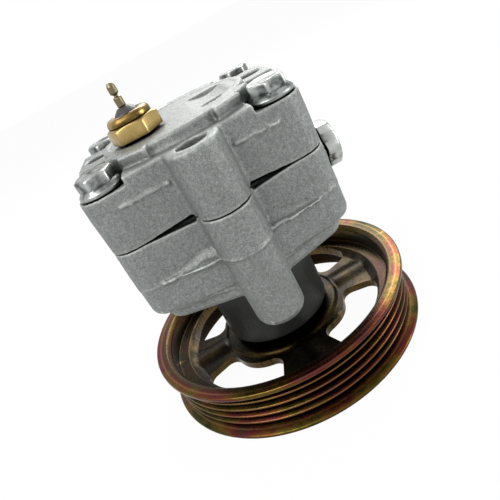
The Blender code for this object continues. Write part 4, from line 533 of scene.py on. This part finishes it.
def add_rings(mesh, rings, closed_ring):
    """Skin rings of points; a closed ring joins its last section to its first, otherwise both ends are filled."""
    made = [[mesh.verts.new(point) for point in ring] for ring in rings]
    pairs = list(zip(made, made[1:]))
    if closed_ring:
        pairs.append((made[-1], made[0]))
    count = len(made[0])
    for lower, upper in pairs:
        for index in range(count):
            after = (index + 1) % count
            mesh.faces.new((lower[index], lower[after], upper[after], upper[index]))
    if not closed_ring:
        mesh.faces.new(list(reversed(made[0])))
        mesh.faces.new(made[-1])


def circle(points, turn=0.0):
    """A ring from one (radius, height) pair for each step round the axis."""
    ring = []
    for index, (radius, height) in enumerate(points):
        angle = turn + index * 2 * math.pi / len(points)
        ring.append((radius * math.cos(angle), radius * math.sin(angle), height))
    return ring


def turned(profile, centre):
    """Rings of a (radius, height) profile turned about an upright axis."""
    rings = [circle([point] * TURNED_STEPS) for point in profile]
    return [[(centre[0] + x, centre[1] + y, z) for x, y, z in ring] for ring in rings]


def rounded_profile(points, radius, steps=ARC_STEPS):
    """Round each inner corner of an open profile with a small arc."""
    result = [points[0]]
    for before, here, after in zip(points, points[1:], points[2:]):
        corner = Vector(here)
        first, last = Vector(before) - corner, Vector(after) - corner
        reach = min(radius, first.length * 0.45, last.length * 0.45)
        start, end = corner + first.normalized() * reach, corner + last.normalized() * reach
        for index in range(steps + 1):
            share = index / steps
            point = start * (1 - share) ** 2 + corner * 2 * share * (1 - share) + end * share ** 2
            result.append((point.x, point.y))
    result.append(points[-1])
    return result


def hex_reach(flats, angle):
    """Distance from the axis to a hexagon's side, its corners slightly worn."""
    sector = (angle % (math.pi / 3)) - math.pi / 6
    return min(flats / 2 / math.cos(sector), flats / math.sqrt(3) * HEX_WEAR)


def hex_rings(flats, foot, top, turn, below):
    """Rings of a hexagon head over round rings, with its corners turned off and a shallow dish on top."""
    face = flats / 2 * HEX_FACE
    sides = [hex_reach(flats, index * 2 * math.pi / HEAD_STEPS) for index in range(HEAD_STEPS)]
    rings = [[point] * HEAD_STEPS for point in below]
    rings.append([(reach, foot) for reach in sides])
    rings.append([(reach, top - (reach - face) * HEX_SLOPE - HEX_EDGE) for reach in sides])
    rings.append([(reach - HEX_EDGE, top - (reach - HEX_EDGE - face) * HEX_SLOPE) for reach in sides])
    for point in ((face, top), (face - HEX_EDGE, top), (face * DISH_SHARE, top),
                  (face * DISH_SHARE - HEX_EDGE * 2, top - DISH_DEPTH), (face * DISH_MIDDLE_SHARE, top - DISH_DEPTH)):
        rings.append([point] * HEAD_STEPS)
    return [circle(ring, turn) for ring in rings]


def bolt_rings():
    """A cover bolt from its tip up: shank, washer flange and head."""
    return hex_rings(BOLT_FLATS, BOLT_HEX_FOOT, BOLT_TOP, 0.0, BOLT_BELOW)


def repeat_on_points(name, rings, places):
    """One mesh of equal bright zinc pieces, set on points by a node tree with a turn for each."""
    mesh = bmesh.new()
    add_rings(mesh, rings, False)
    bmesh.ops.recalc_face_normals(mesh, faces=mesh.faces)
    template = linked(name + "_template", to_data(name + "_template", mesh))
    points = bpy.data.meshes.new(name)
    points.from_pydata([place_of[:3] for place_of in places], [], [])
    turns = points.attributes.new("turn", "FLOAT", "POINT")
    for index, place_of in enumerate(places):
        turns.data[index].value = math.radians(place_of[3])
    carrier = linked(name, points)
    tree = bpy.data.node_groups.new(name, "GeometryNodeTree")
    tree.interface.new_socket("Points", in_out="INPUT", socket_type="NodeSocketGeometry")
    wanted = tree.interface.new_socket("Piece", in_out="INPUT", socket_type="NodeSocketObject")
    finish = tree.interface.new_socket("Finish", in_out="INPUT", socket_type="NodeSocketMaterial")
    tree.interface.new_socket("Pieces", in_out="OUTPUT", socket_type="NodeSocketGeometry")
    start, end = tree.nodes.new("NodeGroupInput"), tree.nodes.new("NodeGroupOutput")
    info = tree.nodes.new("GeometryNodeObjectInfo")
    attribute = tree.nodes.new("GeometryNodeInputNamedAttribute")
    attribute.data_type = "FLOAT"
    attribute.inputs["Name"].default_value = "turn"
    angles = tree.nodes.new("ShaderNodeCombineXYZ")
    spread = tree.nodes.new("GeometryNodeInstanceOnPoints")
    real = tree.nodes.new("GeometryNodeRealizeInstances")
    paint = tree.nodes.new("GeometryNodeSetMaterial")
    tree.links.new(start.outputs["Piece"], info.inputs["Object"])
    tree.links.new(start.outputs["Points"], spread.inputs["Points"])
    tree.links.new(info.outputs["Geometry"], spread.inputs["Instance"])
    tree.links.new(attribute.outputs["Attribute"], angles.inputs["Z"])
    tree.links.new(angles.outputs["Vector"], spread.inputs["Rotation"])
    tree.links.new(spread.outputs["Instances"], real.inputs["Geometry"])
    tree.links.new(real.outputs["Geometry"], paint.inputs["Geometry"])
    tree.links.new(start.outputs["Finish"], paint.inputs["Material"])
    tree.links.new(paint.outputs["Geometry"], end.inputs["Pieces"])
    modifier = carrier.modifiers.new(name, "NODES")
    modifier.node_group = tree
    modifier[wanted.identifier] = template
    modifier[finish.identifier] = FINISHES["bright_zinc"]
    result = evaluated(carrier)
    bpy.data.objects.remove(carrier)
    bpy.data.objects.remove(template)
    return result


def build_bolts():
    """The four flange bolts of the cover."""
    data = repeat_on_points("cover_bolts", bolt_rings(), BOLT_PLACES)
    place("cover_bolts", data, FINISHES["bright_zinc"], "pump_body", "bright_zinc", "cover_bolt_1", "cover_bolt_2",
          "cover_bolt_3", "cover_bolt_4")


def build_plug():
    """The valve plug, laid along +X."""
    rings = hex_rings(PLUG_FLATS, PLUG_HEX_FOOT, SEAT_GAP + PLUG_HEAD, math.pi / 6, PLUG_BELOW)
    laid = [[(PLUG_FACE + z, PLUG_Y + y, PLUG_HEIGHT - x) for x, y, z in ring] for ring in rings]
    mesh = bmesh.new()
    add_rings(mesh, laid, False)
    keep("valve_plug_piece", mesh, FINISHES["bright_zinc"], "pump_body", "bright_zinc", "valve_plug")


def build_switch():
    """The brass switch with its insulator and terminal."""
    rings = hex_rings(SWITCH_FLATS, SWITCH_HEX_FOOT, SWITCH_HEX_TOP, SWITCH_TURN, SWITCH_BELOW)[:-2]
    for point in rounded_profile(SWITCH_SHOULDER, SWITCH_ROUND)[1:]:
        rings.append(circle([point] * HEAD_STEPS, SWITCH_TURN))
    mesh = bmesh.new()
    add_rings(mesh, [[(SWITCH_PLACE[0] + x, SWITCH_PLACE[1] + y, z) for x, y, z in ring] for ring in rings], False)
    keep("switch_body_piece", mesh, FINISHES["brass"], "pump_body", "brass", "switch_body")
    for profile, edge, finish, slot, node in (
            (INSULATOR, INSULATOR_ROUND, "dark_plastic", "dark_plastic", "switch_insulator"),
            (TERMINAL, TERMINAL_ROUND, "terminal", "bright_zinc", "switch_terminal")):
        mesh = bmesh.new()
        add_rings(mesh, turned(rounded_profile(profile, edge), SWITCH_PLACE), False)
        keep(node + "_piece", mesh, FINISHES[finish], "pump_body", slot, node)


def arc(centre, radius, start, end, steps):
    """Points along an arc in plan."""
    return [(centre[0] + radius * math.cos(start + (end - start) * index / steps),
             centre[1] + radius * math.sin(start + (end - start) * index / steps)) for index in range(steps + 1)]


def rounded_outline(corners):
    """A closed outline from (x, y, radius) corners, each turned into an arc."""
    outline = []
    count = len(corners)
    for index, (x, y, radius) in enumerate(corners):
        here = Vector((x, y))
        before = (Vector(corners[index - 1][:2]) - here).normalized()
        after = (Vector(corners[(index + 1) % count][:2]) - here).normalized()
        half_angle = before.angle(after) / 2
        centre = here + (before + after).normalized() * (radius / math.sin(half_angle))
        reach = radius / math.tan(half_angle)
        first, last = here + before * reach - centre, here + after * reach - centre
        turn = -first.angle_signed(last)
        start = math.atan2(first.y, first.x)
        outline += arc(centre, radius, start, start + turn, max(EDGE_STEPS, round(abs(turn) / WINDOW_STEP)))
    return [point for index, point in enumerate(outline)
            if (Vector(point) - Vector(outline[index - 1])).length > SHORTEST_SIDE]


def window_cutter(turn):
    """A prism through one window of the pulley's web."""
    half = WINDOW_SPREAD / 2
    ends = [(radius * math.cos(angle), radius * math.sin(angle), WINDOW_CORNER)
            for radius, angle in ((WINDOW_INNER, -half), (WINDOW_OUTER, -half), (WINDOW_OUTER, half),
                                  (WINDOW_INNER, half))]
    outer_bow = (WINDOW_OUTER / math.cos(half), 0.0, WINDOW_OUTER * WINDOW_OUTER_BOW)
    inner_bow = (WINDOW_INNER / math.cos(half), 0.0, WINDOW_INNER * WINDOW_INNER_BOW)
    outline = rounded_outline([ends[0], ends[1], outer_bow, ends[2], ends[3], inner_bow])
    cosine, sine = math.cos(turn), math.sin(turn)
    plan = [(x * cosine - y * sine, x * sine + y * cosine) for x, y in outline]
    mesh = bmesh.new()
    add_rings(mesh, [[(x, y, height) for x, y in plan] for height in WINDOW_CUT], False)
    bmesh.ops.recalc_face_normals(mesh, faces=mesh.faces)
    return linked("window_cutter", to_data("window_cutter", mesh))


def pulley_profile():
    """The closed section of the pulley, its crests and lips rounded, with fine steps along the web."""
    outside = [(RIM_FOOT_INNER, 0.0), (LOWER_FLANGE_RADIUS, 0.0), (LOWER_FLANGE_RADIUS, LOWER_FLANGE - FLANGE_SLOPE)]
    groove_floor = CREST_RADIUS - GROOVE_DEPTH
    for index in range(GROOVE_COUNT):
        middle = LOWER_FLANGE + (index + 0.5) * RIB_PITCH
        crest = RIB_PITCH / 2 - CREST_HALF
        outside += [(CREST_RADIUS, middle - crest), (groove_floor, middle - GROOVE_FLOOR_HALF),
                    (groove_floor, middle + GROOVE_FLOOR_HALF), (CREST_RADIUS, middle + crest)]
    outside += [(UPPER_FLANGE_RADIUS, RIM_HEIGHT - UPPER_FLANGE + CREST_HALF), (UPPER_FLANGE_RADIUS, RIM_HEIGHT),
                (RIM_INNER + LIP_ROUND, RIM_HEIGHT)]
    inside = [(RIM_INNER, RIM_HEIGHT - LIP_ROUND), (RIM_INNER, LEDGE_HEIGHT), (LEDGE_INNER, LEDGE_HEIGHT),
              (LEDGE_FOOT, WEB_HEIGHT)]
    web = [(LEDGE_FOOT - step * (LEDGE_FOOT - PLATEAU_RADIUS - PLATEAU_RISE) / WEB_STEPS, WEB_HEIGHT)
           for step in range(1, WEB_STEPS)]
    plateau_under = WEB_HEIGHT + PLATEAU_RISE - WEB_THICKNESS
    hub = [(PLATEAU_RADIUS + PLATEAU_RISE, WEB_HEIGHT), (PLATEAU_RADIUS, WEB_HEIGHT + PLATEAU_RISE),
           (HUB_RADIUS + PLATEAU_RISE, WEB_HEIGHT + PLATEAU_RISE), (HUB_RADIUS, WEB_HEIGHT + 2 * PLATEAU_RISE),
           (HUB_RADIUS, HUB_TOP), (HUB_BORE, HUB_TOP), (HUB_BORE, plateau_under)]
    under = [(PLATEAU_RADIUS, plateau_under), (PLATEAU_RADIUS + PLATEAU_RISE, WEB_HEIGHT - WEB_THICKNESS),
             (LEDGE_INNER - UNDER_RUN, WEB_HEIGHT - WEB_THICKNESS),
             (LEDGE_INNER + UNDER_RUN, LEDGE_HEIGHT - WEB_THICKNESS), (RIM_FOOT_INNER, LEDGE_HEIGHT - WEB_THICKNESS)]
    return (rounded_profile(outside + inside, RIM_EDGE_ROUND, EDGE_STEPS)[:-1] + web
            + rounded_profile(hub, WEB_EDGE_ROUND, EDGE_STEPS) + rounded_profile(under, WEB_EDGE_ROUND, EDGE_STEPS))


def spoke_rise(radius, angle):
    """Height of the soft swelling along each spoke of the web."""
    spoke = (angle + math.pi / 2 - SPOKE_TURN + math.pi / 4) % (math.pi / 2) - math.pi / 4
    side = abs(spoke) * radius / SPOKE_HALF_WIDTH
    along = min((radius - PLATEAU_RADIUS) / SPOKE_START_RUN, (LEDGE_INNER - radius) / SPOKE_END_RUN, 1.0)
    if side >= 1.0 or along <= 0.0:
        return 0.0
    return SPOKE_RISE * (1 + math.cos(math.pi * side)) / 2 * math.sin(along * math.pi / 2)


def build_pulley():
    """The belt pulley, turned finely, with its windows cut and its spokes swollen."""
    mesh = bmesh.new()
    profile = pulley_profile()
    rings = []
    for index in range(RIM_STEPS):
        angle = index * 2 * math.pi / RIM_STEPS
        ring = []
        for radius, height in profile:
            lift = spoke_rise(radius, angle) if abs(height - WEB_HEIGHT) < SAME_HEIGHT else 0.0
            ring.append((radius * math.cos(angle), radius * math.sin(angle), height + lift))
        rings.append(ring)
    add_rings(mesh, rings, True)
    bmesh.ops.recalc_face_normals(mesh, faces=mesh.faces)
    wheel = linked("pulley_wheel", to_data("pulley_piece", mesh))
    cutters = []
    for index in range(SPOKE_COUNT):
        cutter = window_cutter(SPOKE_TURN + (2 * index - 1) * math.pi / SPOKE_COUNT)
        modifier = wheel.modifiers.new("window", "BOOLEAN")
        modifier.operation = "DIFFERENCE"
        modifier.solver = "EXACT"
        modifier.object = cutter
        cutters.append(cutter)
    result = evaluated(wheel)
    for item in cutters + [wheel]:
        bpy.data.objects.remove(item)
    place("pulley_piece", result, FINISHES["yellow_zinc"], "drive_shaft", "yellow_zinc", "pulley")


def add_bar(mesh, start, end, out, height, reach):
    """A short closed bar along an edge, standing out of the wall."""
    corners = []
    for point in (start, end):
        for away, up in ((-SEAM_DEPTH, -height), (reach, -height * 0.5), (reach, height * 0.5),
                         (-SEAM_DEPTH, height)):
            corners.append(mesh.verts.new(point + out * away + Vector((0.0, 0.0, up))))
    a, b = corners[:4], corners[4:]
    for index in range(4):
        after = (index + 1) % 4
        mesh.faces.new((a[index], a[after], b[after], b[index]))
    mesh.faces.new(list(reversed(a)))
    mesh.faces.new(b)


def add_seam(mesh, level, size, wanted):
    """Cast a seam along the wall of a mesh at one level, wavering in width as a trimmed edge does."""
    height, reach, sway = size
    lower_part = mesh.copy()
    geometry = lower_part.verts[:] + lower_part.edges[:] + lower_part.faces[:]
    cut = bmesh.ops.bisect_plane(lower_part, geom=geometry, plane_co=(0.0, 0.0, level), plane_no=(0.0, 0.0, 1.0),
                                 clear_outer=True)
    edges = [(item.verts[0].co.copy(), item.verts[1].co.copy(), item.link_faces[0].normal.copy())
             for item in cut["geom_cut"] if isinstance(item, bmesh.types.BMEdge) and item.link_faces]
    lower_part.free()
    for first, last, normal in edges:
        out = Vector((normal.x, normal.y, 0.0))
        if out.length < STEEPEST_WALL or not wanted((first + last) / 2):
            continue
        out.normalize()
        pieces = max(1, math.ceil((last - first).length / SEAM_STEP))
        for index in range(pieces):
            start, end = first.lerp(last, index / pieces), first.lerp(last, (index + 1) / pieces)
            waver = noise.noise(start * WAVER_SCALE)
            shift = Vector((0.0, 0.0, noise.noise(start * SWAY_SCALE + SWAY_SHIFT) * sway))
            add_bar(mesh, start + shift, end + shift, out, height * (1 + waver * 0.5), reach * (1 + waver))


def cast_skin(name, seams):
    """The casting's skin: the solid with its seams, cast soft at every edge and slightly uneven."""
    source = frame["nodes"][name]
    mesh = bmesh.new()
    mesh.from_mesh(source.data)
    mesh.transform(source.matrix_world)
    bmesh.ops.remove_doubles(mesh, verts=mesh.verts, dist=MERGE_DISTANCE)
    for level, size, wanted in seams:
        add_seam(mesh, level, size, wanted)
    rough = linked(name + "_rough", to_data(name + "_rough", mesh))
    remesh = rough.modifiers.new("skin", "REMESH")
    remesh.mode = "VOXEL"
    remesh.voxel_size = SKIN_VOXEL
    smooth = rough.modifiers.new("soften", "SMOOTH")
    smooth.factor = SOFTEN_FACTOR
    smooth.iterations = SOFTEN_TURNS
    fewer = rough.modifiers.new("fewer", "DECIMATE")
    fewer.ratio = SKIN_SHARE
    result = evaluated(rough)
    bpy.data.objects.remove(rough)
    normals = [vertex.normal.copy() for vertex in result.vertices]
    for vertex, normal in zip(result.vertices, normals):
        swell = sum(noise.noise(vertex.co * scale) * share for scale, share in SWELL_WAVES)
        vertex.co += normal * swell * CAST_SWELL
    place(name + "_casting", result, FINISHES["cast_aluminium"], "pump_body", "cast_aluminium", name)


def outer_wall(point):
    """True on the outside walls, away from bores."""
    return math.hypot(point.x, point.y) > OUTER_WALL_RADIUS and not in_hole(point)


def in_hole(point):
    """True inside a mounting or bolt hole."""
    for x, y in HOLES:
        if math.hypot(point.x - x, point.y - y) < HOLE_REACH:
            return True
    return False


def front_wall(point):
    """True on the front of the drum, below the wings."""
    return point.y < WING_LINE and not in_hole(point)


def wing_band(point):
    """True along the two trimmed strips under the wings."""
    return front_wall(point) and WING_NEAR < abs(point.x) < WING_FAR


def gate_band(point):
    """True where the gates were cut off the cover's front wall."""
    return point.y < GATE_LINE and GATE_NEAR < abs(point.x) < GATE_FAR


def build_castings():
    """Both castings with their trimmed seams."""
    cast_skin("housing", [(WING_HEIGHT, WING_STRIP, wing_band), (WING_HEIGHT, WING_RIDGE, front_wall)])
    cast_skin("cover", [(COVER_PARTING, PARTING_RIDGE, outer_wall), (GATE_HEIGHT, GATE_STRIP, gate_band)])


def place_camera():
    """The camera that the photograph was taken with, as fitted from the pulley's circles."""
    up = Vector((0.0, math.sin(CAMERA_TILT), math.cos(CAMERA_TILT)))
    forward = Vector((0.0, math.cos(CAMERA_TILT), -math.sin(CAMERA_TILT)))
    right = Vector((1.0, 0.0, 0.0))
    tilt = Matrix.Rotation(CAMERA_TILT_TRIM, 3, "X")
    yaw = Matrix(((math.cos(CAMERA_YAW_TRIM), 0.0, -math.sin(CAMERA_YAW_TRIM)), (0.0, 1.0, 0.0),
                  (math.sin(CAMERA_YAW_TRIM), 0.0, math.cos(CAMERA_YAW_TRIM))))
    back_turn = (tilt @ yaw).transposed()
    cosine, sine = math.cos(CAMERA_ROLL), math.sin(CAMERA_ROLL)

    def world(direction):
        part = back_turn @ Vector(direction)
        return right * part.x - up * part.y + forward * part.z

    across, down, ahead = world((cosine, sine, 0.0)), world((-sine, cosine, 0.0)), world((0.0, 0.0, 1.0))
    camera = linked("photo_camera", bpy.data.cameras.new("photo_camera"))
    camera.data.sensor_width = SENSOR_WIDTH
    camera.data.lens = FOCAL_PIXELS / FRAME_PIXELS * SENSOR_WIDTH
    camera.data.clip_start = CLIP_START
    camera.data.clip_end = CLIP_END
    turn = Matrix((across, -down, -ahead)).transposed().to_4x4()
    camera.matrix_world = Matrix.Translation(CAMERA_PLACE) @ turn
    bpy.context.scene.camera = camera


def build_floor():
    """A pale floor, nearly white to the eye and in reflections, that keeps a faint shadow."""
    mesh = bpy.data.meshes.new("floor")
    corners = [(x * FLOOR_HALF, y * FLOOR_HALF, 0.0) for x, y in ((-1, -1), (1, -1), (1, 1), (-1, 1))]
    mesh.from_pydata(corners, [], [(0, 1, 2, 3)])
    floor = linked("floor", mesh)
    n = Nodes("pale_floor")
    n.tree.nodes.remove(n.shader)
    matt = n.add("ShaderNodeBsdfDiffuse")
    matt.inputs["Color"].default_value = rgb(FLOOR_GREY, FLOOR_GREY, FLOOR_GREY)
    white = n.add("ShaderNodeEmission")
    white.inputs["Color"].default_value = rgb(1.0, 1.0, 1.0)
    share = n.add("ShaderNodeMixShader")
    seen = n.add("ShaderNodeLightPath")
    straight = n.sum(n.sum(seen.outputs["Is Camera Ray"], seen.outputs["Is Glossy Ray"], "MAXIMUM"),
                     seen.outputs["Is Transmission Ray"], "MAXIMUM")
    n.link(n.sum(straight, FLOOR_WHITE, "MULTIPLY"), share.inputs["Fac"])
    n.link(matt.outputs["BSDF"], share.inputs[1])
    n.link(white.outputs["Emission"], share.inputs[2])
    n.link(share.outputs["Shader"], n.output.inputs["Surface"])
    mesh.materials.append(n.material)


def build_world():
    """White all round for the eye and for reflections, and a plain soft light for the rest."""
    world = bpy.data.worlds.new("studio")
    bpy.context.scene.world = world
    world.use_nodes = True
    tree = world.node_tree
    tree.nodes.clear()
    output = tree.nodes.new("ShaderNodeOutputWorld")
    share = tree.nodes.new("ShaderNodeMixShader")
    seen = tree.nodes.new("ShaderNodeLightPath")
    soft = tree.nodes.new("ShaderNodeBackground")
    soft.inputs["Color"].default_value = rgb(1.0, 1.0, 1.0)
    soft.inputs["Strength"].default_value = SOFT_LIGHT
    white = tree.nodes.new("ShaderNodeBackground")
    white.inputs["Color"].default_value = rgb(1.0, 1.0, 1.0)
    white.inputs["Strength"].default_value = 1.0
    glossy = tree.nodes.new("ShaderNodeMath")
    glossy.operation = "MAXIMUM"
    through = tree.nodes.new("ShaderNodeMath")
    through.operation = "MAXIMUM"
    tree.links.new(seen.outputs["Is Camera Ray"], glossy.inputs[0])
    tree.links.new(seen.outputs["Is Glossy Ray"], glossy.inputs[1])
    tree.links.new(glossy.outputs["Value"], through.inputs[0])
    tree.links.new(seen.outputs["Is Transmission Ray"], through.inputs[1])
    tree.links.new(through.outputs["Value"], share.inputs["Fac"])
    tree.links.new(soft.outputs["Background"], share.inputs[1])
    tree.links.new(white.outputs["Background"], share.inputs[2])
    tree.links.new(share.outputs["Shader"], output.inputs["Surface"])


def add_softbox(name, place_of, width, height, power):
    """A studio softbox aimed at the middle of the pump."""
    light = bpy.data.lights.new(name, "AREA")
    light.shape = "RECTANGLE"
    light.size = width
    light.size_y = height
    light.energy = power
    item = linked(name, light)
    item.location = place_of
    item.rotation_euler = (Vector(LIGHT_TARGET) - Vector(place_of)).to_track_quat("-Z", "Y").to_euler()


def build_lights():
    """Soft light from the upper left and from behind, with a weaker one from the right."""
    for softbox in SOFTBOXES:
        add_softbox(*softbox)


bpy.context.scene.view_settings.view_transform = "Standard"
place_camera()
build_world()
build_lights()
build_floor()
dress_all()
build_castings()
build_bolts()
build_plug()
build_switch()
build_pulley()
